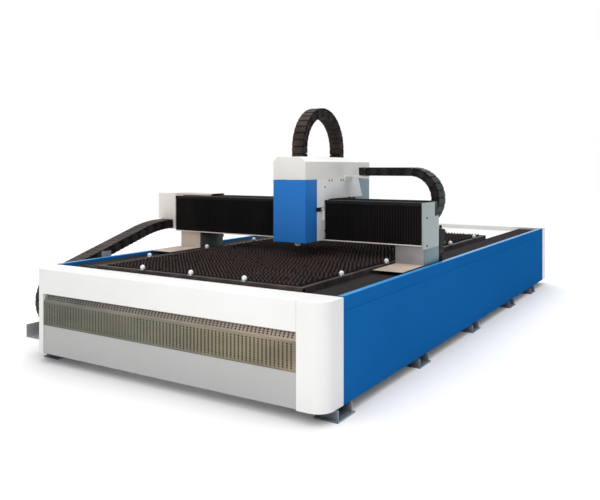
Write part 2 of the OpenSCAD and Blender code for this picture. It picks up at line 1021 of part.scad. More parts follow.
module chain_tray() {
    floor_top = side_low - link_h / 2;
    x0 = side_chain_x - tray_wall - way_side;
    x1 = side_chain_x + side_chain_w + tray_wall + way_side;
    arm_h = tray_lip / 2;
    color([0.72, 0.73, 0.74]) {
        along_y(tray_y0, tray_y1) {
            rect([x0, floor_top - tray_wall], [x1, floor_top]);
            rect([x0, floor_top - tray_wall], [x0 + tray_wall, floor_top + tray_lip]);
            rect([x1 - tray_wall, floor_top - tray_wall], [x1, floor_top + tray_lip]);
        }
        for (y = foot_ys)
            if (y + foot_l < tray_y1 && y > panel_y0)
                block([x1 - tray_wall, y, floor_top], [left_x, y + tray_wall, floor_top + arm_h]);
        block(
            [x1 - tray_wall, guide_post_y, floor_top],
            [x1, guide_post_y + guide_post_l, bed_top + guide_post_rise]
        );
        block(
            [x1 - tray_wall, guide_post_y, floor_top],
            [left_x, guide_post_y + tray_wall, bed_top - guide_post_rise]
        );
    }
}

module gantry_chain() {
    color([0.09, 0.08, 0.08])
        along_x(side_chain_x, side_chain_x + side_chain_w)
            translate([side_start_y, side_chain_z])
                rotate(180)
                    chain_side(side_run, link_h);
}

module gantry_beam() {
    color([0.35, 0.37, 0.38])
        along_x(beam_x0, end_x)
            difference() {
                rect([beam_y0, beam_z0], [beam_y1, beam_z1]);
                rect([beam_y0 + beam_t, beam_z0 + beam_t], [beam_y1 - beam_t, beam_z1 - beam_t]);
            }
}

// Saddle of the right side with its guide blocks and the plate that holds the drive
module saddle() {
    z1 = saddle_z0 + saddle_t;
    block([saddle_x0, saddle_y0, saddle_z0], [saddle_x1, saddle_y1, z1]);
    difference() {
        block([saddle_x0, riser_y0, z1 - weld], [riser_x1, riser_y1, beam_z0]);
        block(
            [saddle_x0 + riser_t, riser_y0 + riser_t, z1 - cut],
            [riser_x1 - riser_t, riser_y1 - riser_t, beam_z0 + cut]
        );
        block(
            [saddle_x0 - cut, riser_y0 - cut, beam_z0 - lip_t],
            [riser_x1 + cut, beam_y0 + beam_t, beam_z0 + cut]
        );
    }
    difference() {
        block(
            [saddle_x0, riser_y1 - weld, drive_z],
            [riser_x1, drive_y + gearbox_w, drive_z + drive_plate_t]
        );
        translate([drive_x, drive_y, drive_z - cut])
            cylinder(h = drive_plate_t + 2 * cut, r = shaft_r + run_gap);
    }
    for (y = [saddle_y0, saddle_y1 - block_l])
        along_y(y, y + block_l)
            difference() {
                rect([rail_x - block_w / 2, channel_z + block_lift], [rail_x + block_w / 2, saddle_z0 + weld]);
                rect(
                    [rail_x - rail_w / 2 - run_gap, channel_z],
                    [rail_x + rail_w / 2 + run_gap, channel_z + rail_h + run_gap]
                );
            }
}

module saddles() {
    color([0.27, 0.30, 0.28])
        both_sides()
            saddle();
}

module right_end_plate() {
    color([0.72, 0.75, 0.76]) {
        along_x(end_x, end_x + sheet_t)
            polygon([
                [gantry_front, seam_z + seam_gap], [gantry_front, beam_z1], [plate_step_y, beam_z1],
                [plate_step_y, beam_z1 - plate_step_z], [plate_y1, beam_z1 - plate_step_z],
                [plate_y1, seam_z + seam_gap]
            ]);
        block(
            [end_x - plate_flange, gantry_front, seam_z + seam_gap],
            [end_x + sheet_t, gantry_front + sheet_t, beam_z1]
        );
    }
}

module right_end_skirt() {
    color([0.55, 0.62, 0.66])
        along_y(riser_y0, plate_y1) {
            rect([end_x, floor_z], [end_x + sheet_t, seam_z]);
            rect([riser_x1, seam_z - sheet_t], [end_x + sheet_t, seam_z]);
        }
}

module left_end_cover() {
    x0 = beam_x0 - end_cover_w;
    z0 = end_cover_z1 - end_cover_h;
    arm_z = side_chain_z - link_h / 2;
    color([0.87, 0.84, 0.81]) {
        difference() {
            block([x0, gantry_front, z0], [beam_x0, plate_y1, end_cover_z1]);
            block(
                [x0 + sheet_t, gantry_front + sheet_t, z0 - cut],
                [beam_x0 - sheet_t, plate_y1 - sheet_t, end_cover_z1 - sheet_t]
            );
        }
        along_x(beam_x0 - sheet_t, beam_x0 + top_plate_l)
            difference() {
                rect([beam_y0, beam_z1 + cap_h], [beam_y1, beam_z1 + top_plate_h]);
                rect([beam_y0 + sheet_t, beam_z1], [beam_y1 - sheet_t, beam_z1 + top_plate_h - sheet_t]);
            }
        block(
            [beam_x0 - end_strip_w, gantry_front, arm_z - bracket_t / 2],
            [beam_x0, gantry_front + sheet_t, z0 + sheet_t]
        );
        block([beam_x0 - sheet_t, gantry_front, arm_z - bracket_t], [beam_x0, plate_y1, z0 + sheet_t]);
        block([x0 + end_strip_w, side_start_y - arm_lead, arm_z - bracket_t], [beam_x0, plate_y1, arm_z]);
    }
}

module beam_top_cover() {
    color([0.10, 0.10, 0.11])
        block([beam_x0, beam_y0, beam_z1], [end_x, beam_y1, beam_z1 + cap_h]);
}

module bellows_lip() {
    color([0.82, 0.79, 0.77])
        block(
            [beam_x0, gantry_front - lip_reach, beam_z0 - lip_t],
            [end_x - plate_flange, beam_y0 + beam_t, beam_z0]
        );
}

module aprons() {
    z1 = beam_z0 - lip_t;
    color([0.74, 0.69, 0.63])
        both_sides()
            along_x(saddle_x0, end_x) {
                rect([riser_y0 - apron_t, floor_z], [riser_y0, z1]);
                rect([riser_y0 - floor_l, floor_z], [riser_y0, floor_z + floor_t]);
            }
}

// Servo motor on its gearbox, standing on the origin's plane
module drive(gear_w, gear_h, body_w, body_h) {
    linear_extrude(gear_h)
        square(gear_w, center = true);
    translate([0, 0, gear_h - weld])
        linear_extrude(body_h + weld)
            difference() {
                square(body_w, center = true);
                for (x = [-1, 1], y = [-1, 1])
                    translate([x, y] * body_w / 2)
                        circle(body_w / 12);
            }
}

module gantry_motors() {
    color([0.10, 0.12, 0.11])
        both_sides()
            translate([drive_x, drive_y, drive_z + drive_plate_t])
                drive(gearbox_w, gearbox_h, motor_w, motor_h);
}

module right_gantry_pinion() {
    translate([drive_x, drive_y, rack_z0])
        pinion(pinion_r, rack_h, drive_z + drive_plate_t - rack_z0 - rack_h - soft_gap);
}

module right_pinion() {
    color([0.60, 0.60, 0.62])
        right_gantry_pinion();
}

module left_pinion() {
    color([0.60, 0.60, 0.62])
        on_left()
            right_gantry_pinion();
}

module carriage_rails() {
    color([0.66, 0.67, 0.69])
        for (z = [guide_low_z, guide_high_z])
            block(
                [left_x + plate_flange, beam_y0 - guide_h, z - guide_w / 2],
                [end_x - plate_flange, beam_y0, z + guide_w / 2]
            );
}

module carriage_rack() {
    color([0.52, 0.53, 0.55])
        block(
            [left_x + plate_flange, beam_y0 - guide_h, rack_bar_z0],
            [end_x - plate_flange, beam_y0, rack_bar_z0 + rack_bar_h]
        );
}

// Pleated bellows between two places across the machine, with a plain band along its top
module bellows(from, to) {
    n = round((to - from) / bellows_pleat);
    step = (to - from) / n;
    back = gantry_front + bellows_d;
    valley = gantry_front + bellows_d / 2;
    top = beam_z1 - soft_gap;
    upright(beam_z0, top - bellows_band)
        polygon(concat(
            [[from, back], [from, valley]],
            [
                for (i = [0:n - 1], k = [1, 2])
                    [from + (i + k / 2) * step, k == 1 ? gantry_front : valley]
            ],
            [[to, back]]
        ));
    block([from, gantry_front + cut, top - bellows_band - weld], [to, back, top]);
}

module left_bellows() {
    color([0.07, 0.07, 0.08])
        bellows(beam_x0, head_x0 - soft_gap);
}

module right_bellows() {
    color([0.07, 0.07, 0.08])
        bellows(head_x1 + soft_gap, end_x - plate_flange);
}

// Run of the chain on the beam, from the carriage to the right, down and back under
beam_start_x = head_x1 + bracket_l - bracket_lap;
beam_bend_x = right_x - bend_inset;
beam_run = [
    [beam_bend_x - beam_start_x, 0],
    [arc_l(beam_chain_r, 180), -180],
    [beam_bend_x - beam_fix_x, 0]
];
beam_chain_low = beam_chain_z - 2 * beam_chain_r - beam_link_h / 2;

module beam_chain_tray() {
    color([0.30, 0.31, 0.32])
        along_x(beam_fix_x - tray_over, beam_bend_x) {
            rect(
                [beam_y1, beam_chain_low - tray_wall],
                [beam_chain_y0 + beam_chain_w + tray_over, beam_chain_low]
            );
            rect([beam_y1, beam_chain_low - tray_lip], [beam_y1 + tray_wall, beam_chain_low]);
        }
}

module beam_chain() {
    color([0.09, 0.08, 0.08])
        translate([0, beam_chain_y0 + beam_chain_w, 0])
            rotate([90, 0, 0])
                linear_extrude(beam_chain_w)
                    translate([beam_start_x, beam_chain_z])
                        chain_side(beam_run, beam_link_h);
}

// Guide block of the carriage on a beam rail
module carriage_block(x, z) {
    block_share = 0.36;
    along_x(x - block_l / 2, x + block_l / 2)
        difference() {
            rect(
                [carriage_y1 - weld, z - block_share * block_w],
                [beam_y0 - block_lift / 2, z + block_share * block_w]
            );
            rect(
                [beam_y0 - guide_h - run_gap, z - guide_w / 2 - run_gap],
                [beam_y0, z + guide_w / 2 + run_gap]
            );
        }
}

module carriage_plate() {
    x0 = head_x0 + sheet_t;
    x1 = head_x1 - sheet_t;
    top_y0 = carriage_y0 - carriage_lap;
    notch_w = pinion_room_share * small_pinion_r;
    color([0.45, 0.46, 0.48]) {
        difference() {
            union() {
                block([x0, carriage_y0, head_z0 + 3 * lip_t], [x1, carriage_y1, carriage_top_z + weld]);
                block(
                    [x0, top_y0, carriage_top_z],
                    [x1, beam_y0 - run_gap, carriage_top_z + carriage_top_t]
                );
            }
            block(
                [head_x + drive_off_x - notch_w, carriage_y0 - cut, rack_bar_z0 - rack_bar_h / 2],
                [head_x + drive_off_x + notch_w, carriage_y1 + cut, carriage_top_z - cut]
            );
            translate([head_x + drive_off_x, carriage_pinion_y, carriage_top_z - cut])
                cylinder(h = carriage_top_t + 2 * cut, r = shaft_r + run_gap);
            translate([head_x + screw_off_x, screw_y, carriage_top_z - cut])
                cylinder(h = carriage_top_t + 2 * cut, r = screw_d / 2 + run_gap);
        }
        for (x = [head_x - head_w / 4, head_x + head_w / 4], z = [guide_low_z, guide_high_z])
            carriage_block(x, z);
    }
}

carriage_pinion_y = beam_y0 - guide_h - small_pinion_r - soft_gap;

module carriage_pinion() {
    color([0.60, 0.60, 0.62])
        translate([head_x + drive_off_x, carriage_pinion_y, rack_bar_z0])
            pinion(
                small_pinion_r, rack_bar_h,
                carriage_top_z + carriage_top_t - rack_bar_z0 - rack_bar_h - soft_gap
            );
}

module carriage_motor() {
    color([0.12, 0.13, 0.13])
        translate([head_x + drive_off_x, carriage_pinion_y, carriage_top_z + carriage_top_t])
            drive(carriage_gear_w, carriage_gear_h, carriage_gear_w, carriage_motor_h);
}

// Side plate of the housing: tall in front of the beam, low over it, with a slanted rear edge
module housing_side() {
    polygon([
        [cover_y1, head_z0], [gantry_front - 2 * lip_reach, head_z0],
        [gantry_front - 2 * lip_reach, head_z0 + 2 * lip_t], [carriage_y1, head_z0 + 2 * lip_t],
        [carriage_y1, over_beam_z], [housing_y1 + housing_slant, over_beam_z],
        [housing_y1, head_z1], [cover_y1, head_z1]
    ]);
}

module carriage_housing() {
    chain_z = beam_chain_z - beam_link_h / 2;
    color([0.83, 0.83, 0.82]) {
        along_x(head_x0, head_x0 + sheet_t)
            housing_side();
        along_x(head_x1 - sheet_t, head_x1)
            housing_side();
        block([head_x0, deck_y0, head_z1 - sheet_t], [head_x1, housing_y1, head_z1]);
        block(
            [head_x1 - sheet_t, beam_chain_y0, head_z1 - bracket_drop],
            [head_x1 + bracket_t, beam_chain_y0 + beam_chain_w, head_z1]
        );
        block(
            [head_x1, beam_chain_y0, head_z1 - bracket_drop],
            [head_x1 + bracket_t, beam_chain_y0 + beam_chain_w, chain_z]
        );
        block(
            [head_x1, beam_chain_y0, chain_z - bracket_t],
            [head_x1 + bracket_l, beam_chain_y0 + beam_chain_w, chain_z]
        );
        for (z = hinge_zs)
            translate([hinge_x, hinge_y, z])
                fixed_hinge_half();
        translate([head_x1 - sheet_t, latch_y, latch_z])
            rotate([0, 90, 0]) {
                cylinder(h = sheet_t + latch_gap + latch_t + soft_gap, r = latch_pivot_r);
                translate([0, 0, sheet_t + latch_gap + latch_t + soft_gap])
                    cylinder(h = latch_t, r = latch_pivot_r + door_gap);
            }
    }
}

// Upper half of a door hinge with its pin, about the hinge axis
module fixed_hinge_half() {
    gap_z = hinge_l + soft_gap;
    cylinder(h = 2 * hinge_l, r = hinge_pin_r);
    translate([0, 0, gap_z])
        cylinder(h = hinge_l, r = hinge_r);
    block([hinge_r - door_t, door_gap / 2, gap_z], [hinge_r + sheet_t / 2, hinge_leaf, gap_z + hinge_l]);
    block([0, door_gap / 2, gap_z], [hinge_r, hinge_r - door_gap / 2, gap_z + hinge_l]);
}

module rear_shield() {
    x0 = head_x0 + sheet_t;
    x1 = head_x1 - sheet_t;
    y0 = housing_y1 - shield_lap;
    z0 = over_beam_z - 2 * shield_lap / 3;
    color([0.60, 0.66, 0.72])
        upright(z0, head_z1 - sheet_t)
            difference() {
                rect([x0, y0], [x1, hood_y1]);
                rect([x0 + sheet_t, y0 - cut], [x1 - sheet_t, hood_y1 - sheet_t]);
            }
}

// Hood section drawn in by an inset
module hood_section(inset) {
    x0 = head_x0 + inset;
    x1 = head_x1 - inset;
    z0 = head_z1 - inset;
    z1 = head_z1 + hood_h - inset;
    polygon([
        [x0, z0], [x1, z0], [x1, z1 - hood_chamfer], [x1 - hood_chamfer, z1],
        [x0 + hood_chamfer, z1], [x0, z1 - hood_chamfer]
    ]);
}

module head_hood() {
    top = head_z1 + hood_h;
    color([0.93, 0.93, 0.92])
        difference() {
            along_y(head_y0, hood_y1)
                hood_section(0);
            along_y(head_y0 + sheet_t, hood_y1 - sheet_t)
                hood_section(sheet_t);
            for (y = [arch_y0, arch_y0 + 2 * arch_r])
                block(
                    [arch_x0 - leg_gap, y - link_h / 2 - leg_gap, top - 2 * sheet_t],
                    [arch_x0 + arch_w + leg_gap, y + link_h / 2 + leg_gap, top + cut]
                );
        }
}

// Run of the arch chain: up from the slide, over and down to the housing
arch_run = [[arch_leg, 0], [arc_l(arch_r, 180), -180], [arch_leg, 0]];

module arch_chain() {
    color([0.09, 0.08, 0.08])
        along_x(arch_x0, arch_x0 + arch_w)
            translate([arch_y0, arch_base_z])
                rotate(90)
                    chain_side(arch_run, link_h);
}

module z_motor() {
    color([0.12, 0.13, 0.13])
        translate([head_x + screw_off_x, screw_y, carriage_top_z + carriage_top_t])
            drive(z_motor_w, z_motor_h / 4, z_motor_w, z_motor_h);
}

module z_screw() {
    z0 = head_z0 + screw_lift;
    color([0.70, 0.70, 0.72])
        translate([head_x + screw_off_x, screw_y, z0])
            cylinder(h = carriage_top_z + carriage_top_t - z0 - soft_gap, r = screw_d / 2);
}

// Middle of the Z rail on a side of the head
function z_rail_x(side) = head_x + side * z_rail_off;

module z_rails() {
    color([0.66, 0.67, 0.69])
        for (side = [-1, 1])
            block(
                [z_rail_x(side) - z_rail_w / 2, carriage_y0 - z_rail_d, head_z0 + z_rail_lift],
                [z_rail_x(side) + z_rail_w / 2, carriage_y0, carriage_top_z - z_rail_top]
            );
}

// Slide plate with its guide blocks, screw nut, head bracket and chain bracket
module z_slide() {
    z0 = head_z0 + z_plate_lift;
    z1 = carriage_top_z - z_plate_top;
    half = z_rail_off + z_plate_side;
    nut_r = screw_d;
    color([0.50, 0.51, 0.53]) {
        block([head_x - half, z_plate_y0, z0], [head_x + half, z_plate_y1, z1]);
        for (side = [-1, 1], z = [z0, z1 - z_block_h])
            upright(z, z + z_block_h)
                difference() {
                    rect(
                        [z_rail_x(side) - z_rail_w, z_plate_y1 - weld],
                        [z_rail_x(side) + z_rail_w, carriage_y0 - z_rail_d / 3]
                    );
                    rect(
                        [z_rail_x(side) - z_rail_w / 2 - run_gap, carriage_y0 - z_rail_d - run_gap],
                        [z_rail_x(side) + z_rail_w / 2 + run_gap, carriage_y0]
                    );
                }
        difference() {
            block(
                [head_x + screw_off_x - nut_r, z_plate_y1 - weld, (z0 + z1) / 2],
                [head_x + screw_off_x + nut_r, screw_y + nut_r, (z0 + z1) / 2 + z_block_h]
            );
            translate([head_x + screw_off_x, screw_y, z0])
                cylinder(h = z1 - z0, r = screw_d / 2 + run_gap);
        }
        for (share = laser_clamp_shares)
            block(
                [head_axis_x - laser_w / 3, head_axis_y + laser_w / 2, laser_z0 + share * laser_h],
                [head_axis_x + laser_w / 3, z_plate_y0 + weld, laser_z0 + share * laser_h + z_plate_t]
            );
        block(
            [arch_x0, z_plate_y0 - z_column_t, z1 - z_block_h],
            [arch_x0 + arch_w, z_plate_y0 + weld, arch_base_z]
        );
        block(
            [arch_x0, arch_y0 - link_h / 2, arch_base_z - bracket_t],
            [arch_x0 + arch_w, z_plate_y0, arch_base_z]
        );
    }
}

module laser_head() {
    body_h = laser_body_share * laser_h;
    color([0.16, 0.16, 0.17])
        translate([head_axis_x, head_axis_y, laser_z0]) {
            linear_extrude(body_h)
                square(laser_w, center = true);
            translate([0, 0, body_h - weld])
                cylinder(h = laser_h - body_h + weld, r = laser_top_share * laser_w);
        }
}

module nozzle() {
    bore_r = nozzle_tip_r / 2;
    color([0.80, 0.52, 0.28])
        translate([head_axis_x, head_axis_y, head_z0])
            rotate_extrude()
                polygon([
                    [bore_r, -nozzle_drop], [nozzle_tip_r, -nozzle_drop], [nozzle_r, 0],
                    [nozzle_r, laser_lift], [bore_r, laser_lift]
                ]);
}

// Door of the head: a folded cover hinged along its left rear edge
module head_cover() {
    z1 = head_z1 - door_gap;
    y1 = cover_y1 - door_gap;
    color([0.12, 0.40, 0.72]) {
        upright(head_z0, z1)
            difference() {
                rect([head_x0, head_y0], [head_x1, y1]);
                rect([head_x0 + door_t, head_y0 + door_t], [head_x1 - door_t, y1 + cut]);
            }
        for (z = hinge_zs)
            difference() {
                union() {
                    translate([hinge_x, hinge_y, z])
                        cylinder(h = hinge_l, r = hinge_r);
                    block([hinge_x, hinge_y - hinge_leaf, z], [head_x0 + door_t / 2, hinge_y, z + hinge_l]);
                }
                translate([hinge_x, hinge_y, z - cut])
                    cylinder(h = hinge_l + 2 * cut, r = hinge_pin_r + pin_gap);
                block(
                    [hinge_x - cut, hinge_y - hinge_leaf - cut, z - cut],
                    [head_x0 - door_t, hinge_y - hinge_r, z + hinge_l + cut]
                );
            }
    }
}

module cover_latch() {
    x0 = head_x1 + latch_gap;
    color([0.10, 0.10, 0.10])
        along_x(x0, x0 + latch_t)
            difference() {
                union() {
                    rect(
                        [cover_y1 - latch_lap, latch_z - latch_h / 2],
                        [latch_y, latch_z + latch_h / 2]
                    );
                    translate([latch_y, latch_z])
                        circle(latch_h / 2);
                }
                translate([latch_y, latch_z])
                    circle(latch_pivot_r + pin_gap);
            }
}

left_bed_beam();
right_bed_beam();
cross_members();
foot_brackets();
levelling_bolts();
front_cover();
corner_covers();
front_grille();
front_lower_panel();
rear_cover();
rear_deck();
left_side_panel();
right_side_panel();
edge_strips();
left_gap_cover();
table_side_rails();
table_end_rails();
slat_bearers();
slats();
ball_housings();
transfer_balls();
scrap_trays();
gantry_rails();
gantry_racks();
front_way_covers();
rear_way_covers();
chain_tray();
gantry_chain();
gantry_beam();
saddles();
right_end_plate();
right_end_skirt();
left_end_cover();
beam_top_cover();
bellows_lip();
aprons();
gantry_motors();
carriage_rails();
carriage_rack();
left_bellows();
right_bellows();
beam_chain_tray();
beam_chain();
left_pinion();
right_pinion();
carriage_plate();
carriage_housing();
rear_shield();
head_hood();
carriage_motor();
z_motor();
z_rails();
arch_chain();
carriage_pinion();
z_screw();
z_slide();
laser_head();
nozzle();
head_cover();
cover_latch();
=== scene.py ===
import json
import math
import random

import bmesh
import bpy
import numpy as np
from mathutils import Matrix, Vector

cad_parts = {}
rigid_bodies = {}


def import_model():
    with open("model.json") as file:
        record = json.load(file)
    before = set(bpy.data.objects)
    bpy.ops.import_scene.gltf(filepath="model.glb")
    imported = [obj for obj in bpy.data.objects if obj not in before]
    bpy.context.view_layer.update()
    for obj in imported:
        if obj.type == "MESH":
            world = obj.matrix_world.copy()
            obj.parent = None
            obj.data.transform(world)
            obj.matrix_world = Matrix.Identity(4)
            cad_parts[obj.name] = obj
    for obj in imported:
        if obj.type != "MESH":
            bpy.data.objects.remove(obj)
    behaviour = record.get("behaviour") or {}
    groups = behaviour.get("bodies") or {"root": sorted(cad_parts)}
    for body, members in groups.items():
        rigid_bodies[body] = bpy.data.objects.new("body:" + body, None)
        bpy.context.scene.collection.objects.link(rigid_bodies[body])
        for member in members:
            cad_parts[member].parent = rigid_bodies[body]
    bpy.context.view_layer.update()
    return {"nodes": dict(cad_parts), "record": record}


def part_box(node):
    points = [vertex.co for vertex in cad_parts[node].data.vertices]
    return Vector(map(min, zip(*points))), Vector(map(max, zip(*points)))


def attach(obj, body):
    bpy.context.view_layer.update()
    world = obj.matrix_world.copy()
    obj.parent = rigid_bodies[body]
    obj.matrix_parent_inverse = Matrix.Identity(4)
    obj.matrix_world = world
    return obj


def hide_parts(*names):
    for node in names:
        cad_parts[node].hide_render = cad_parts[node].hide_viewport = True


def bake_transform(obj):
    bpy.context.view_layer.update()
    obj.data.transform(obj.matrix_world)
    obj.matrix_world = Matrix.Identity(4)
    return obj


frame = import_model()
nodes = frame["nodes"]
bodies = frame["record"]["behaviour"]["bodies"]
body_of_node = {node: body for body, names in bodies.items() for node in names}
scene = bpy.context.scene
rng = random.Random(7)
MM = 0.001


# Materials

NOISE_SPAN = (0.3, 0.7)
COLOUR_SPAN = (0.34, 0.66)
COAT_ROUGHNESS = 0.15
RELIEF_DEPTH = 2 * MM
WHITE = (1, 1, 1, 1)
# Sockets of the mix node when it mixes colours
MIX_FACTOR, MIX_FIRST, MIX_SECOND, MIX_RESULT = 0, 6, 7, 2


def feed(tree, value, socket):
    """Links a socket to the one given, or sets it to a fixed value."""
    if isinstance(value, bpy.types.NodeSocket):
        tree.links.new(value, socket)
    else:
        socket.default_value = value


def ramp(tree, source, stops):
    """Colours over a value, by stops of (place, colour)."""
    node = tree.nodes.new("ShaderNodeValToRGB")
    while len(node.color_ramp.elements) < len(stops):
        node.color_ramp.elements.new(0.5)
    for element, (place, colour) in zip(node.color_ramp.elements, stops):
        element.position = place
        element.color = (*colour, 1)
    tree.links.new(source, node.inputs["Fac"])
    return node.outputs["Color"]


def noise(tree, scale, detail, stretch=(1, 1, 1), rough=0.55):
    """Noise in the object's own coordinates."""
    where = tree.nodes.new("ShaderNodeTexCoord")
    mapping = tree.nodes.new("ShaderNodeMapping")
    mapping.inputs["Scale"].default_value = stretch
    tree.links.new(where.outputs["Object"], mapping.inputs["Vector"])
    node = tree.nodes.new("ShaderNodeTexNoise")
    node.inputs["Scale"].default_value = scale
    node.inputs["Detail"].default_value = detail
    node.inputs["Roughness"].default_value = rough
    tree.links.new(mapping.outputs["Vector"], node.inputs["Vector"])
    return node.outputs["Fac"]


def map_range(tree, source, span, low=0.0, high=1.0):
    """Values from low to high over a span of the source."""
    node = tree.nodes.new("ShaderNodeMapRange")
    node.inputs["From Min"].default_value = span[0]
    node.inputs["From Max"].default_value = span[1]
    node.inputs["To Min"].default_value = low
    node.inputs["To Max"].default_value = high
    tree.links.new(source, node.inputs["Value"])
    return node


def share_along(tree, axis, low, high):
    """0 to 1 between two places along an axis of the object."""
    where = tree.nodes.new("ShaderNodeTexCoord")
    split = tree.nodes.new("ShaderNodeSeparateXYZ")
    tree.links.new(where.outputs["Object"], split.inputs["Vector"])
    return map_range(tree, split.outputs[axis], (low, high)).outputs["Result"]


def mix(tree, factor, first, second, blend="MIX"):
    """Mixed colour of two, each of them a socket or a fixed colour."""
    node = tree.nodes.new("ShaderNodeMix")
    node.data_type = "RGBA"
    node.blend_type = blend
    feed(tree, factor, node.inputs[MIX_FACTOR])
    feed(tree, first, node.inputs[MIX_FIRST])
    feed(tree, second, node.inputs[MIX_SECOND])
    return node.outputs[MIX_RESULT]


def times(tree, first, second):
    """Product of two values, each of them a socket or a number."""
    node = tree.nodes.new("ShaderNodeMath")
    node.operation = "MULTIPLY"
    feed(tree, first, node.inputs[0])
    feed(tree, second, node.inputs[1])
    return node.outputs[0]


def shade(colour, factor):
    return tuple(min(1.0, c * factor) for c in colour)


def colour_socket(mat):
    return mat.node_tree.nodes["Principled BSDF"].inputs["Base Color"]


def surface(name, rough, metal=0.0, grain=300.0, bump=0.03, coat=0.0, specular=0.5,
            stretch=(1, 1, 1), tint=(1, 1, 1)):
    """Material without its colour, with a fine grain in its gloss and its relief."""
    mat = bpy.data.materials.new(name)
    mat.use_nodes = True
    tree = mat.node_tree
    shader = tree.nodes["Principled BSDF"]
    shader.inputs["Metallic"].default_value = metal
    shader.inputs["Coat Weight"].default_value = coat
    shader.inputs["Coat Roughness"].default_value = COAT_ROUGHNESS
    shader.inputs["Specular IOR Level"].default_value = specular
    shader.inputs["Specular Tint"].default_value = (*tint, 1)
    fine = noise(tree, grain, 3.0, stretch)
    gloss = map_range(tree, fine, NOISE_SPAN, *rough)
    tree.links.new(gloss.outputs["Result"], shader.inputs["Roughness"])
    if bump:
        relief = tree.nodes.new("ShaderNodeBump")
        relief.inputs["Strength"].default_value = bump
        relief.inputs["Distance"].default_value = RELIEF_DEPTH
        tree.links.new(fine, relief.inputs["Height"])
        tree.links.new(relief.outputs["Normal"], shader.inputs["Normal"])
    return mat


def material(name, colours, rough, scale=2.0, stretch=(1, 1, 1), grain_stretch=None, **finish):
    """Surface that changes slowly between colours. The grain may have a stretch of its own."""
    mat = surface(name, rough, stretch=grain_stretch or stretch, **finish)
    first, last = COLOUR_SPAN
    step = (last - first) / (len(colours) - 1)
    stops = [(first + i * step, colour) for i, colour in enumerate(colours)]
    slow = noise(mat.node_tree, scale, 6.0, stretch)
    mat.node_tree.links.new(ramp(mat.node_tree, slow, stops), colour_socket(mat))
    return mat


def paint(name, colour, rough=(0.36, 0.48), vary=0.03, specular=0.35, tint=(1, 1, 1)):
    """Painted sheet metal, whose colour varies by a small share."""
    colours = [shade(colour, 1 - vary), colour, shade(colour, 1 + vary)]
    return material(name, colours, rough, scale=0.9, grain=420.0, bump=0.02, specular=specular, tint=tint)


def slat_steel(dark, light, rust, depth):
    """Burnt steel that grows lighter towards the top of the slats, with rust in patches."""
    rust_share = 0.6
    mat = surface("slat_steel", (0.45, 0.7), metal=0.3, grain=160.0, bump=0.12, specular=0.3)
    tree = mat.node_tree
    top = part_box("slats")[1].z
    rise = share_along(tree, "Z", top - depth, top)
    steel = ramp(tree, rise, [(0.0, dark), (0.35, shade(dark, 1.6)), (1.0, light)])
    blotches = noise(tree, 2.2, 8.0, rough=0.7)
    patches = ramp(tree, blotches, [(0.58, (0, 0, 0)), (0.70, (1, 1, 1))])
    worn = times(tree, times(tree, patches, rust_share), rise)
    tree.links.new(mix(tree, worn, steel, (*rust, 1)), colour_socket(mat))
    return mat


def tint_with_painted_reflection(mat, low, high, stops):
    """Tints a material along the width of the machine, by stops between two places: painted reflection."""
    tree = mat.node_tree
    plain = colour_socket(mat).links[0].from_socket
    painted_reflection = ramp(tree, share_along(tree, "X", low, high), stops)
    tree.links.new(mix(tree, 1.0, plain, painted_reflection, "MULTIPLY"), colour_socket(mat))


ROUGH_PAINT = dict(rough=(0.45, 0.6), vary=0.15, specular=0.3)

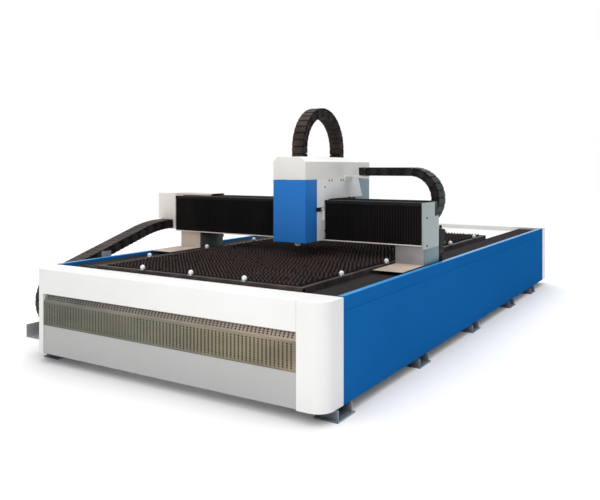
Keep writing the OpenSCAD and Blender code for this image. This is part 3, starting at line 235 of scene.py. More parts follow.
M = {
    "white": paint("white_paint", (0.815, 0.812, 0.80)),
    "hood": paint("hood_paint", (0.92, 0.90, 0.855)),
    # Lighter copy of the hood paint for its top and slopes: painted light from above.
    "hood_lit_top": paint("hood_lit_top_paint", (0.985, 0.975, 0.94)),
    "blue": paint("blue_paint", (0.0085, 0.124, 0.38), (0.42, 0.52), vary=0.04, specular=0.0),
    "edge_blue": paint("edge_blue_paint", (0.008, 0.124, 0.385), vary=0.04, specular=0.0),
    # Lighter, bluer copy for the level tops of the edge strips: a painted highlight along their top edge.
    "edge_top_highlight": paint("edge_highlight_paint", (0.03, 0.27, 0.60), (0.30, 0.40), vary=0.04, specular=0.3,
                      tint=(0.30, 0.75, 1.0)),
    "head_blue": paint("head_blue_paint", (0.024, 0.204, 0.64), (0.38, 0.48), specular=0.2),
    "grey": paint("grey_paint", (0.445, 0.445, 0.445)),
    "olive": material("olive_grille", [(0.155, 0.150, 0.108), (0.205, 0.193, 0.136), (0.28, 0.25, 0.168)],
                      (0.34, 0.48), metal=0.35, scale=3.0, stretch=(0.4, 1, 1), grain=500.0, bump=0.02,
                      specular=0.3),
    # Lighter copy of the grille's colour for its sloping strip: painted light from above.
    "olive_lit_slope": material("olive_lit_slope", [(0.31, 0.275, 0.215), (0.42, 0.36, 0.28)], (0.36, 0.5),
                            metal=0.3, scale=3.0, grain=500.0, bump=0.02, specular=0.3),
    "frame": paint("frame_paint", (0.085, 0.095, 0.10), (0.45, 0.6), vary=0.12, specular=0.3),
    # Two copies of the feet's paint: the darker one painted shade, the lighter one painted light on the
    # faces that face sideways.
    "foot": paint("foot_shaded_paint", (0.13, 0.15, 0.18), **ROUGH_PAINT),
    "foot_lit_side": paint("foot_lit_side_paint", (0.30, 0.37, 0.43), **ROUGH_PAINT),
    "table": material("table_steel", [(0.026, 0.020, 0.018), (0.044, 0.034, 0.031), (0.075, 0.057, 0.051)],
                      (0.5, 0.7), metal=0.2, scale=6.0, grain=180.0, bump=0.10, specular=0.2),
    "slat": slat_steel((0.018, 0.0125, 0.0112), (0.150, 0.116, 0.104), (0.36, 0.16, 0.085), 34 * MM),
    "steel": material("ground_steel", [(0.42, 0.43, 0.44), (0.55, 0.56, 0.57)], (0.22, 0.36), metal=1.0,
                      scale=5.0, grain_stretch=(1, 0.03, 1)),
    "ball": material("white_ball", [(0.84, 0.85, 0.86), (0.90, 0.90, 0.91)], (0.12, 0.2), scale=20.0,
                     bump=0.0, coat=0.4),
    "bellows": material("bellows_cloth",
                        [(0.0055, 0.0045, 0.0042), (0.009, 0.0078, 0.0073), (0.014, 0.0122, 0.0115)],
                        (0.5, 0.65), scale=3.0, stretch=(1, 1, 0.3), grain=900.0, bump=0.10, specular=0.2),
    "top_cloth": material("top_cloth", [(0.010, 0.010, 0.011), (0.018, 0.018, 0.018)], (0.8, 0.95),
                          scale=3.0, grain=900.0, bump=0.10, specular=0.05),
    "way": material("way_cloth", [(0.013, 0.010, 0.0107), (0.018, 0.0142, 0.015), (0.023, 0.0187, 0.0187)],
                    (0.6, 0.75), scale=2.2, grain=800.0, bump=0.10, specular=0.12),
    "chain": material("chain_plastic",
                      [(0.016, 0.0125, 0.012), (0.028, 0.022, 0.020), (0.044, 0.034, 0.030)],
                      (0.5, 0.65), scale=6.0, grain=600.0, bump=0.05, specular=0.15),
    # Darker copy of the chain plastic for the inset links and the strips under the lids: painted shade.
    "shaded_inner_link": material("shaded_inner_links",
                           [(0.008, 0.0065, 0.006), (0.014, 0.011, 0.010), (0.020, 0.016, 0.0145)],
                           (0.5, 0.65), scale=6.0, grain=600.0, bump=0.05, specular=0.12),
    "lid": material("chain_lids", [(0.020, 0.028, 0.026), (0.028, 0.040, 0.037), (0.040, 0.054, 0.049)],
                    (0.44, 0.56), scale=5.0, grain=600.0, bump=0.04, specular=0.12),
    "brown_lid": material("worn_lids",
                          [(0.021, 0.0165, 0.0145), (0.039, 0.0285, 0.0245), (0.072, 0.050, 0.041)],
                          (0.5, 0.62), scale=5.0, grain=600.0, bump=0.05, specular=0.15),
    "cable": material("cable_rubber", [(0.006, 0.006, 0.006), (0.012, 0.012, 0.012)], (0.5, 0.7), scale=8.0,
                      grain=500.0, bump=0.05, specular=0.25),
    "end_grey": paint("end_grey_paint", (0.36, 0.42, 0.41)),
    "housing": paint("housing_paint", (0.93, 0.935, 0.94)),
    # Darker grey for the top of the chain's bracket on the housing: painted shade.
    "bracket": paint("bracket_top_shade_paint", (0.52, 0.53, 0.54)),
    "skirt": paint("skirt_paint", (0.155, 0.225, 0.255)),
    "shield": paint("shield_paint", (0.27, 0.40, 0.45)),
    "apron": material("apron_sheet", [(0.26, 0.24, 0.255), (0.32, 0.30, 0.315), (0.39, 0.36, 0.36)],
                      (0.34, 0.5), metal=0.25, scale=2.5, grain=400.0, grain_stretch=(0.05, 1, 1),
                      bump=0.04, specular=0.3),
    # Lighter tan copy of the apron sheet for the left apron's face: painted light from the left.
    "tan": material("tan_sheet", [(0.52, 0.43, 0.355), (0.62, 0.52, 0.435), (0.70, 0.60, 0.50)],
                    (0.36, 0.52), metal=0.2, scale=2.5, grain=400.0, grain_stretch=(0.05, 1, 1),
                    bump=0.04, specular=0.3),
    "floor_plate": material("floor_sheet", [(0.45, 0.375, 0.30), (0.54, 0.45, 0.36), (0.62, 0.53, 0.43)],
                            (0.40, 0.55), metal=0.1, scale=3.5, bump=0.05, specular=0.25),
    # The left end cover's beige in two copies: lighter on its front and sides, painted light, and darker on
    # its level top, painted shade.
    "beige": paint("beige_paint", (0.96, 0.88, 0.83)),
    "beige_shaded_top": paint("beige_shaded_top_paint", (0.74, 0.66, 0.59)),
    "lip": paint("lip_paint", (0.78, 0.71, 0.66)),
    "saddle": paint("saddle_paint", (0.125, 0.145, 0.135), **ROUGH_PAINT),
    "motor": paint("motor_paint", (0.012, 0.016, 0.0145), (0.55, 0.7), vary=0.25, specular=0.12),
    "flange": paint("flange_paint", (0.035, 0.045, 0.041), (0.5, 0.65), vary=0.2, specular=0.15),
    "bolt": paint("black_bolts", (0.006, 0.006, 0.006), (0.6, 0.7), vary=0.2, specular=0.06),
    "ceramic": paint("ceramic_collar", (0.96, 0.93, 0.89), (0.3, 0.4)),
    "tray": material("scrap_tray_steel",
                     [(0.045, 0.038, 0.034), (0.080, 0.066, 0.058), (0.125, 0.092, 0.074)],
                     (0.5, 0.7), metal=0.3, scale=4.0, grain=160.0, bump=0.10, specular=0.2),
    "zinc": material("zinc_sheet", [(0.42, 0.43, 0.44), (0.52, 0.53, 0.54), (0.58, 0.58, 0.58)], (0.34, 0.5),
                     metal=0.7, scale=7.0, grain=120.0, bump=0.04),
    "alu": material("machined_plate", [(0.40, 0.41, 0.43), (0.50, 0.51, 0.53)], (0.28, 0.4), metal=0.85,
                    scale=3.0, grain_stretch=(0.05, 1, 1)),
    "copper": material("copper_tip", [(0.62, 0.30, 0.14), (0.72, 0.38, 0.19)], (0.2, 0.35), metal=1.0,
                       scale=30.0, grain=600.0),
    "black": paint("black_plastic", (0.012, 0.012, 0.013), (0.38, 0.5), vary=0.2),
}


# Mesh helpers

SHARP_EDGE = math.radians(28)
FLAT_ENOUGH = math.radians(0.5)
WELD = 0.002 * MM
SOFT_ANGLE = 40
LEVEL = 0.7
SLOPE = 0.3


def show(name, mesh, mats):
    """Object of a mesh in the scene, with one material or several."""
    obj = bpy.data.objects.new(name, mesh)
    for mat in mats if isinstance(mats, list) else [mats]:
        mesh.materials.append(mat)
    scene.collection.objects.link(obj)
    return obj


def soften(obj, angle):
    """Smooth shading, with edges sharper than an angle in degrees kept."""
    obj.data.polygons.foreach_set("use_smooth", [True] * len(obj.data.polygons))
    obj.data.set_sharp_from_angle(angle=math.radians(angle))


def clean_copy(node):
    """Edge-merged copy of a node's mesh, flat faces joined up again."""
    bm = bmesh.new()
    bm.from_mesh(nodes[node].data)
    bmesh.ops.remove_doubles(bm, verts=bm.verts, dist=WELD)
    bmesh.ops.dissolve_limit(bm, angle_limit=FLAT_ENOUGH, verts=bm.verts, edges=bm.edges)
    return bm


def dress(node, mats, width=1.2, segments=2, mark=None):
    """Finished copy of a CAD node, its folded or machined edges broken by a width in millimetres."""
    bm = clean_copy(node)
    folds = [e for e in bm.edges if len(e.link_faces) == 2]
    sharp = [e for e in folds if e.calc_face_angle(0.0) > SHARP_EDGE]
    bmesh.ops.bevel(bm, geom=sharp, offset=width * MM, segments=segments, profile=0.6, affect="EDGES",
                    clamp_overlap=True)
    mesh = bpy.data.meshes.new(node + "_finish")
    bm.to_mesh(mesh)
    bm.free()
    obj = show(node + "_finish", mesh, mats)
    soften(obj, SOFT_ANGLE)
    if mark:
        mark(obj)
    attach(obj, body_of_node[node])
    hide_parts(node)


def mark_level(obj, least=LEVEL):
    """Second material on the faces that lie level, or that face up by more than the least given."""
    for face in obj.data.polygons:
        face.material_index = int(face.normal.z > least)


def mark_lit_slopes(obj):
    """Second material on level and sloping faces, which take a lighter copy of the paint: painted light on
    the tops.
    """
    mark_level(obj, SLOPE)


def mark_lit_sides(obj):
    """Second material on the cut edges of plates, which face sideways: a lighter copy of the paint, painted
    light on these faces, the rest painted shade.
    """
    for face in obj.data.polygons:
        face.material_index = int(abs(face.normal.x) > LEVEL)


def prism(outline, low, high, axis):
    """Closed prism of a 2-D outline along an axis: verts and faces."""
    n = len(outline)
    place = {"x": lambda p, t: (t, p[0], p[1]),
             "y": lambda p, t: (p[0], t, p[1]),
             "z": lambda p, t: (p[0], p[1], t)}[axis]
    verts = [place(p, low) for p in outline] + [place(p, high) for p in outline]
    faces = [tuple(range(n))[::-1], tuple(range(n, 2 * n))]
    faces += [(i, (i + 1) % n, n + (i + 1) % n, n + i) for i in range(n)]
    return verts, faces


def lathe(profile, centre, sides, axis="z"):
    """Turned form: profile of (radius, height) about an axis through centre."""
    verts, faces = [], []
    for r, h in profile:
        for k in range(sides):
            a = 2 * math.pi * k / sides
            u, v = r * math.cos(a), r * math.sin(a)
            verts.append({"z": (u, v, h), "x": (h, u, v), "y": (u, h, v)}[axis])
    for i in range(len(profile) - 1):
        for k in range(sides):
            faces.append((i * sides + k, i * sides + (k + 1) % sides,
                          (i + 1) * sides + (k + 1) % sides, (i + 1) * sides + k))
    faces.append(tuple(range(sides))[::-1])
    last = (len(profile) - 1) * sides
    faces.append(tuple(range(last, last + sides)))
    return [tuple(c + d for c, d in zip(v, centre)) for v in verts], faces


def octagon(x, y, w, d, c):
    """Rectangle of half width w and half depth d about a point, with its corners cut off."""
    return [(x - w, y - d + c), (x - w + c, y - d), (x + w - c, y - d), (x + w, y - d + c),
            (x + w, y + d - c), (x + w - c, y + d), (x - w + c, y + d), (x - w, y + d - c)]


class Soup:
    """Meshes gathered into one object."""

    def __init__(self):
        self.verts, self.faces, self.ids, self.along = [], [], [], []

    def put(self, verts, faces, mat=0, along=None):
        base = len(self.verts)
        self.verts += [tuple(v) for v in verts]
        self.faces += [tuple(base + i for i in f) for f in faces]
        self.ids += [mat] * len(faces)
        self.along += along or []

    def make(self, name, mats, body=None, smooth=None):
        mesh = bpy.data.meshes.new(name)
        mesh.from_pydata(self.verts, [], self.faces)
        mesh.update()
        obj = show(name, mesh, mats)
        mesh.polygons.foreach_set("material_index", self.ids)
        bm = bmesh.new()
        bm.from_mesh(mesh)
        bmesh.ops.recalc_face_normals(bm, faces=bm.faces)
        bm.to_mesh(mesh)
        bm.free()
        if smooth:
            soften(obj, smooth)
        if body:
            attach(obj, body)
        return obj


def stretch_between(obj, a, b, start, end, weights=None):
    """Bakes the object's transform and works out weights of even stretch from start to end, unless weights
    are given.
    """
    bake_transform(obj)
    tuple(start)
    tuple(end)
    if weights is None:
        s, e = np.array(start, float), np.array(end, float)
        co = np.array([v.co for v in obj.data.vertices], float)
        weights = np.clip((co - s) @ (e - s) / ((e - s) @ (e - s)), 0, 1)
    np.asarray(weights, np.float32)


SCREW_SHARES = [(1, 0), (1, 0.35), (0.82, 0.8), (0.5, 1), (0.45, 0.5), (0.1, 0.5)]


def screw(soup, x, y, z, normal, r, h):
    """Button-head screw with a socket, on a face whose normal is a sign and an axis."""
    rise = -h if normal[0] == "-" else h
    soup.put(*lathe([(a * r, b * rise) for a, b in SCREW_SHARES], (x, y, z), 12, normal[1]))


# Bed, covers and feet

for name in ("left_bed_beam", "right_bed_beam", "cross_members", "beam_chain_tray"):
    dress(name, M["frame"], 2.0)
dress("gantry_beam", M["frame"], 3.0)
dress("foot_brackets", [M["foot"], M["foot_lit_side"]], 1.5, mark=mark_lit_sides)
dress("levelling_bolts", M["steel"], 1.0)
for name in ("front_cover", "corner_covers", "rear_cover"):
    dress(name, M["white"], 1.6, 3)
dress("rear_deck", M["white"])
dress("front_lower_panel", M["grey"], 1.5, 3)
for name in ("left_side_panel", "right_side_panel"):
    dress(name, M["blue"], 1.5, 3)
# Level tops of the strips take the painted highlight.
dress("edge_strips", [M["edge_blue"], M["edge_top_highlight"]], 1.5, 3, mark=mark_level)
dress("left_gap_cover", M["way"], 2.0)
for name in ("table_side_rails", "table_end_rails"):
    dress(name, M["table"], 2.0)
dress("slat_bearers", M["table"], 1.5)
dress("scrap_trays", M["tray"], 1.5)
dress("gantry_rails", M["steel"], 2.0)
dress("gantry_racks", M["steel"], 1.5)
dress("chain_tray", M["zinc"])


def deck_screws():
    """Screws round the edge of the rear deck."""
    soup = Soup()
    low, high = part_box("rear_deck")
    edge = 28 * MM
    across, along = 6, 5
    xs = np.linspace(low.x + edge, high.x - edge, across)
    ys = np.linspace(low.y + edge, high.y - edge, along)
    places = [(x, y) for x in xs for y in (ys[0], ys[-1])]
    places += [(x, y) for x in (xs[0], xs[-1]) for y in ys[1:-1]]
    for x, y in places:
        screw(soup, x, y, high.z, "+z", r=8 * MM, h=3 * MM)
    soup.make("deck_screws", M["steel"], "bed", SOFT_ANGLE)


deck_screws()

# Perforated front grille: an upright sheet and a sloping one above it
g_low, g_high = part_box("front_grille")
GRILLE = dict(rows=11, slope_rows=3, pitch=33 * MM, hole=(8.6 * MM, 5.6 * MM), margin=18 * MM,
              end_share=0.8, slope_h=64 * MM, slope_d=36 * MM, thick=3 * MM, foot=30 * MM, corner_share=0.45)

# Painted reflection on the grille: darker and cooler at its left end, warmer at its right.
tint_with_painted_reflection(M["olive"], g_low.x, g_high.x,
     [(0.1, (0.64, 0.67, 0.76)), (0.5, (0.90, 0.94, 0.95)), (0.9, (1.08, 0.98, 0.94))])
tint_with_painted_reflection(M["olive_lit_slope"], g_low.x, g_high.x,
     [(0.1, (0.60, 0.66, 0.78)), (0.5, (0.72, 0.76, 0.85)), (0.9, (1.04, 0.98, 1.03))])


def holed_cell(at, cx, cs, pitch_x, pitch_s):
    """One cell of a perforated sheet: the sheet round an oval hole and the hole's wall."""
    c = GRILLE["corner_share"]
    rim = [(1, c), (c, 1), (-c, 1), (-1, c), (-1, -c), (-c, -1), (c, -1), (1, -c)]
    hole_x, hole_s = GRILLE["hole"]
    verts, faces = [], []
    for k, (sx, ss) in enumerate(rim):
        angle = 2 * math.pi * (k + 0.5) / len(rim)
        hx, hs = cx + math.cos(angle) * hole_x, cs + math.sin(angle) * hole_s
        verts.append(at(cx + sx * pitch_x / 2, cs + ss * pitch_s / 2, 0))
        verts += [at(hx, hs, 0), at(hx, hs, GRILLE["thick"])]
    for k in range(len(rim)):
        a, b = 3 * k, 3 * ((k + 1) % len(rim))
        faces += [(a, b, b + 1, a + 1), (a + 1, b + 1, b + 2, a + 2)]
    for k, (sx, ss) in enumerate(((1, 1), (-1, 1), (-1, -1), (1, -1))):
        verts.append(at(cx + sx * pitch_x / 2, cs + ss * pitch_s / 2, 0))
        faces.append((6 * k, len(verts) - 1, 6 * k + 3))
    return verts, faces


def holed_sheet(soup, a, b, rows, mat):
    """Perforated sheet from a lower edge to an upper one, with plain margins."""
    pitch_x = GRILLE["pitch"]
    cols = int((g_high.x - g_low.x - 2 * GRILLE["margin"]) / pitch_x)
    x0 = (g_low.x + g_high.x - cols * pitch_x) / 2
    x1 = x0 + cols * pitch_x
    length = (b - a).length
    run = (b - a).normalized()
    normal = Vector((0, -run.z, run.y))
    lead = GRILLE["margin"] * GRILLE["end_share"]
    pitch_s = (length - 2 * lead) / rows

    def at(x, s, depth):
        p = a + run * s - normal * depth
        return (x, p.y, p.z)

    for i in range(cols):
        for j in range(rows):
            cx, cs = x0 + (i + 0.5) * pitch_x, lead + (j + 0.5) * pitch_s
            soup.put(*holed_cell(at, cx, cs, pitch_x, pitch_s), mat)
    for xa, xb, sa, sb in ((g_low.x, x0, 0, length), (x1, g_high.x, 0, length),
                           (x0, x1, 0, lead), (x0, x1, length - lead, length)):
        soup.put([at(xa, sa, 0), at(xb, sa, 0), at(xb, sb, 0), at(xa, sb, 0)], [(0, 1, 2, 3)], mat)


def grille():
    soup = Soup()
    foot = Vector((0, g_low.y, g_low.z))
    knee = Vector((0, g_low.y, g_high.z - GRILLE["slope_h"]))
    top = Vector((0, g_low.y + GRILLE["slope_d"], g_high.z))
    holed_sheet(soup, foot, knee, GRILLE["rows"], 0)
    holed_sheet(soup, knee, top, GRILLE["slope_rows"], 1)
    back, lip = foot.y + GRILLE["foot"], foot.z + GRILLE["thick"]
    outline = [(foot.y, foot.z), (back, foot.z), (back, lip), (foot.y, lip)]
    soup.put(*prism(outline, g_low.x, g_high.x, "x"))
    # The sloping rows take the lighter copy of the grille's colour: painted light.
    obj = soup.make("front_grille_holes", [M["olive"], M["olive_lit_slope"]], "bed")
    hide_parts("front_grille")


grille()

# Toothed slats, each with its own burns
s_low, s_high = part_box("slats")
SLAT = dict(count=54, thick=4 * MM, pitch=37 * MM, deep=28 * MM, end=52 * MM, end_top=41 * MM, loose=6 * MM,
            wear=3 * MM, burnt_share=0.06, burnt=8 * MM, uneven=2 * MM, lean=1.5 * MM)
TOOTH_SHARES = (0.08, 0.42, 0.58, 0.92)


def slats():
    soup = Soup()
    step = (s_high.y - s_low.y - SLAT["thick"]) / (SLAT["count"] - 1)
    x0, x1 = s_low.x + SLAT["end"], s_high.x - SLAT["end"]
    shoulder = s_high.z - SLAT["end_top"]
    teeth = round((x1 - x0) / SLAT["pitch"])
    pitch = (x1 - x0) / teeth
    for i in range(SLAT["count"]):
        y = s_low.y + i * step
        outline = [(s_low.x, s_low.z), (s_high.x, s_low.z), (s_high.x, shoulder), (x1, shoulder)]
        shift = rng.uniform(-SLAT["loose"], SLAT["loose"])
        for k in range(teeth):
            burn = SLAT["burnt"] if rng.random() < SLAT["burnt_share"] else 0
            tip = s_high.z - rng.random() * SLAT["wear"] - burn
            valley = s_high.z - SLAT["deep"] + rng.uniform(-SLAT["uneven"], SLAT["uneven"])
            x = x1 - k * pitch + shift
            heights = (valley, tip, tip, valley)
            outline += [(x - share * pitch, h) for share, h in zip(TOOTH_SHARES, heights)]
        outline += [(x0, shoulder), (s_low.x, shoulder)]
        lean = rng.uniform(-SLAT["lean"], SLAT["lean"]) / (s_high.z - s_low.z)
        verts, faces = prism(outline, y, y + SLAT["thick"], "y")
        soup.put([(a, b + lean * (c - s_low.z), c) for a, b, c in verts], faces)
    obj = soup.make("toothed_slats", M["slat"], "bed")
    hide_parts("slats")


slats()

# Transfer balls in their cups
b_low, b_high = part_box("transfer_balls")
t_low, t_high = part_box("table_end_rails")
ball_z = (b_low.z + b_high.z) / 2
BALL = dict(r=(b_high.z - b_low.z) / 2, wall=4 * MM, cup=0.375 * (b_high.z - b_low.z), play=0.3 * MM,
            floor=4 * MM, lip=(1.5 * MM, 3 * MM), pole=0.01 * MM, bands=14, sides=28)
RAIL = dict(flange=40 * MM, first=600 * MM, ends=1000 * MM, side_balls=5)


def ball_places():
    """Three balls on each end rail and five on each side rail."""
    inset = RAIL["flange"] / 2
    xs, ys = (t_low.x + inset, t_high.x - inset), (t_low.y + inset, t_high.y - inset)
    places = [(t_low.x + share * (t_high.x - t_low.x), y) for share in (0.25, 0.5, 0.75) for y in ys]
    pitch = (t_high.y - t_low.y - RAIL["ends"]) / (RAIL["side_balls"] - 1)
    places += [(x, t_low.y + RAIL["first"] + i * pitch) for i in range(RAIL["side_balls"]) for x in xs]
    return places


def balls():
    ball, cup = Soup(), Soup()
    base, rim = t_high.z, t_high.z + BALL["cup"]
    angles = [math.pi * k / BALL["bands"] for k in range(BALL["bands"] + 1)]
    globe = [(max(BALL["pole"], BALL["r"] * math.sin(a)), ball_z - BALL["r"] * math.cos(a)) for a in angles]
    r = BALL["r"] + BALL["wall"]
    lip_w, lip_h = BALL["lip"]
    bowl = [(r, base), (r, rim - lip_h), (r - lip_w, rim)]
    for h in (rim, base + 0.5 * BALL["cup"], base + BALL["floor"]):
        bowl.append((math.sqrt((BALL["r"] + BALL["play"]) ** 2 - (h - ball_z) ** 2), h))
    for x, y in ball_places():
        ball.put(*lathe(globe, (x, y, 0), BALL["sides"]))
        cup.put(*lathe(bowl, (x, y, 0), BALL["sides"]))
    obj = ball.make("ball_spheres", M["ball"], "bed", SOFT_ANGLE)
    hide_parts("transfer_balls")
    obj = cup.make("ball_cups", M["steel"], "bed", SOFT_ANGLE)
    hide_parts("ball_housings")


balls()


# Pleated covers

WAY = dict(pitch=40 * MM, deep=9 * MM, round_off=1 * MM, shares=(0.04, 0.40, 0.5, 0.60, 0.96), gap=2 * MM)
BELLOWS = dict(pitch=25 * MM, deep=20 * MM, round_off=0.6 * MM, shares=(0.03, 0.44, 0.5, 0.56, 0.97),
               band=28 * MM, band_low=5 * MM, band_high=1 * MM)
PLEAT_ANGLE = 25


def pleat_line(low, high, cover, ridge, sign):
    """Pleats from low to high as points of (place, height), with the ridges on the side of the sign."""
    n = round((high - low) / cover["pitch"])
    step = (high - low) / n
    near, valley = ridge - sign * cover["round_off"], ridge - sign * cover["deep"]
    heights = (valley, near, ridge, near, valley)
    return [(low + (i + share) * step, h) for i in range(n) for share, h in zip(cover["shares"], heights)]


def follow_ends(obj, node, body_ids, ends, fixed_first):
    """Passes a cover's ends to stretch_between, its fixed end first, and hides its node."""
    start, end = ends if fixed_first else ends[::-1]
    stretch_between(obj, *body_ids, start, end)
    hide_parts(node)


def way_cover(node, name, fixed_first):
    low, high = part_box(node)
    soup = Soup()
    outline = [(low.y, low.z), *pleat_line(low.y, high.y, WAY, high.z, 1), (high.y, low.z)]
    width = high.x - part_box("right_bed_beam")[0].x - WAY["gap"]
    for x0 in (low.x, high.x - width):
        soup.put(*prism(outline, x0, x0 + width, "x"))
    obj = soup.make(name, M["way"], None, PLEAT_ANGLE)
    follow_ends(obj, node, ("bed", "gantry"), ((0, low.y, 0), (0, high.y, 0)), fixed_first)


def bellows(node, name, fixed_first):
    low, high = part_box(node)
    soup = Soup()
    band = high.z - BELLOWS["band"]
    first, last = (low.x, high.y), (high.x, high.y)
    pleats = pleat_line(low.x, high.x, BELLOWS, low.y, -1)
    soup.put(*prism([first, *pleats, last], low.z, band, "z"))
    n = round((high.x - low.x) / BELLOWS["pitch"])
    step = (high.x - low.x) / n
    dents = [BELLOWS["band_low"] if i % 2 == 0 else BELLOWS["band_high"] for i in range(2 * n + 1)]
    waves = [(low.x + 0.5 * i * step, low.y + dent) for i, dent in enumerate(dents)]
    soup.put(*prism([first, *waves, last], band, high.z, "z"))
    obj = soup.make(name, M["bellows"], None, PLEAT_ANGLE)
    follow_ends(obj, node, ("gantry", "carriage"), ((low.x, 0, 0), (high.x, 0, 0)), fixed_first)


way_cover("front_way_covers", "front_way_pleats", True)
way_cover("rear_way_covers", "rear_way_pleats", False)
bellows("left_bellows", "left_bellows_pleats", True)
bellows("right_bellows", "right_bellows_pleats", False)


# Drag chains: links of two side plates and two cross bars around the cables

LINK = dict(pitch=60 * MM, plate=7 * MM, step_in=5 * MM, trim=2 * MM, lid=10 * MM, strip=5 * MM,
            inner_bar=9 * MM, lid_inset=1 * MM, strip_inset=3 * MM, corner=1.5 * MM, pin=1.8 * MM,
            pin_out=(1.2 * MM, 0.6 * MM), cable=36 * MM)
# Half lengths as shares of the links' pitch, and radii as shares of a chain's height or width
HALF_SHARES = dict(outer=0.47, inner=0.55, lid=0.455, strip=0.64, bar=0.40)
RADIUS_SHARES = dict(pin=0.2, cable_h=0.26, cable_w=0.42)
CABLE_SIDES = 8
RINGS_PER_LINK = 4
CHAIN_ANGLE = 35
# Places in a chain's list of materials
OUTER_LINK, CABLE, LID, SHADED_INNER_LINK = 0, 1, 2, 3


def walk(run, s):
    """Point and heading at a length along a run of (length, turn in degrees)."""
    p, a = np.array([0.0, 0.0]), 0.0
    for i, (length, turn) in enumerate(run):
        d = s if i == len(run) - 1 else min(s, length)
        b = a + math.radians(turn) * d / length
        if turn == 0:
            p = p + d * np.array([math.cos(a), math.sin(a)])
        else:
            r = length / math.radians(turn)
            p = p + r * np.array([math.sin(b) - math.sin(a), math.cos(a) - math.cos(b)])
        a = b
        if s <= length:
            break
        s -= length
    return p, a


def side_plate(half, height, low, high):
    """Plate of a link with its corners cut off."""
    h = 0.5 * height - LINK["trim"]
    long, short = 0.8 * half, 0.5 * h
    outline = [(-half, -short), (-long, -h), (long, -h), (half, -short),
               (half, short), (long, h), (-long, h), (-half, short)]
    return prism(outline, low, high, "z")


def cross_bar(half, inner, outer, low, high):
    """Bar across a link, with the corners of its outer face cut off."""
    c = LINK["corner"]
    cut = outer - math.copysign(c, outer - inner)
    outline = [(-half, inner), (half, inner), (half, cut),
               (half - c, outer), (c - half, outer), (-half, cut)]
    return prism(outline, low, high, "z")


def chain(name, node, run, place, low, width, height, outer, lid, body_ids, weight):
    """place turns a point of the run's plane and one across it into the frame; outer is the lids' side."""
    total = sum(length for length, turn in run)
    n = round(total / LINK["pitch"])
    step = total / n
    top = height / 2
    soup = Soup()

    def put(s, piece, mat):
        p, a = walk(run, s)
        t, nrm = np.array([math.cos(a), math.sin(a)]), np.array([-math.sin(a), math.cos(a)])
        verts, faces = piece
        placed = [place(p + t * u + nrm * v, low + w) for u, v, w in verts]
        soup.put(placed, faces, mat, [s + u for u, v, w in verts])

    def bar(s, half, inner, out, inset, mat):
        put(s, cross_bar(half * step, outer * inner, outer * out, inset, width - inset), mat)

    for i in range(n):
        s = (i + 0.5) * step
        odd = i % 2
        inset = LINK["step_in"] if odd else 0.0
        half = HALF_SHARES["inner" if odd else "outer"] * step
        # Inset links and, below, the strips under the lids take the darker copy: painted shade.
        for w in (inset, width - inset - LINK["plate"]):
            put(s, side_plate(half, height, w, w + LINK["plate"]), SHADED_INNER_LINK if odd else OUTER_LINK)
        bar(s, HALF_SHARES["lid"], top - LINK["lid"], top, LINK["lid_inset"], LID)
        bar(s, HALF_SHARES["strip"], top - LINK["lid"], top - LINK["strip"], LINK["strip_inset"],
            SHADED_INNER_LINK)
        bar(s, HALF_SHARES["bar"], LINK["inner_bar"] - top, -top, LINK["lid_inset"], OUTER_LINK)
        near, far = LINK["pin_out"]
        for w in (inset - near, width - inset - far):
            r = RADIUS_SHARES["pin"] * height
            put(s, lathe([(r, w), (r, w + LINK["pin"])], (0.5 * step, 0, 0), 12), OUTER_LINK)
    cables = max(3, int(width / LINK["cable"]))
    r = min(RADIUS_SHARES["cable_h"] * height, RADIUS_SHARES["cable_w"] * width / cables)
    lengths = [min(total, k * step / RINGS_PER_LINK) for k in range(RINGS_PER_LINK * n + 1)]
    angles = [2 * math.pi * k / CABLE_SIDES for k in range(CABLE_SIDES)]
    for c in range(cables):
        w = width * (c + 0.5) / cables
        verts, faces, along = [], [], []
        for s in lengths:
            p, a = walk(run, s)
            nrm = np.array([-math.sin(a), math.cos(a)])
            verts += [place(p + nrm * r * math.cos(g), low + w + r * math.sin(g)) for g in angles]
            along += [s] * CABLE_SIDES
        for i in range(0, len(verts) - CABLE_SIDES, CABLE_SIDES):
            for k in range(CABLE_SIDES):
                m = (k + 1) % CABLE_SIDES
                faces.append((i + k, i + m, i + CABLE_SIDES + m, i + CABLE_SIDES + k))
        soup.put(verts, faces, CABLE, along)
    obj = soup.make(name, [M["chain"], M["cable"], M[lid], M["shaded_inner_link"]], None, CHAIN_ANGLE)
    ends = place(walk(run, total)[0], low), place(walk(run, 0)[0], low)
    weights = [weight(max(0.0, min(total, s))) for s in soup.along]
    stretch_between(obj, *body_ids, *ends, weights)
    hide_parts(node)


def bend(r, turn):
    """Stretch of a run that turns by an angle in degrees at a radius."""
    return math.pi * r * abs(turn) / 180, turn


def bend_weight(run, bend_at):
    """1 at the moving end, a half round the bend, 0 at the fixed end."""
    lengths = [length for length, turn in run]
    a, b, total = sum(lengths[:bend_at]), sum(lengths[:bend_at + 1]), sum(lengths)
    return lambda s: (1 - 0.5 * s / a) if s < a else 0.5 if s < b else 0.5 * (total - s) / (total - b)


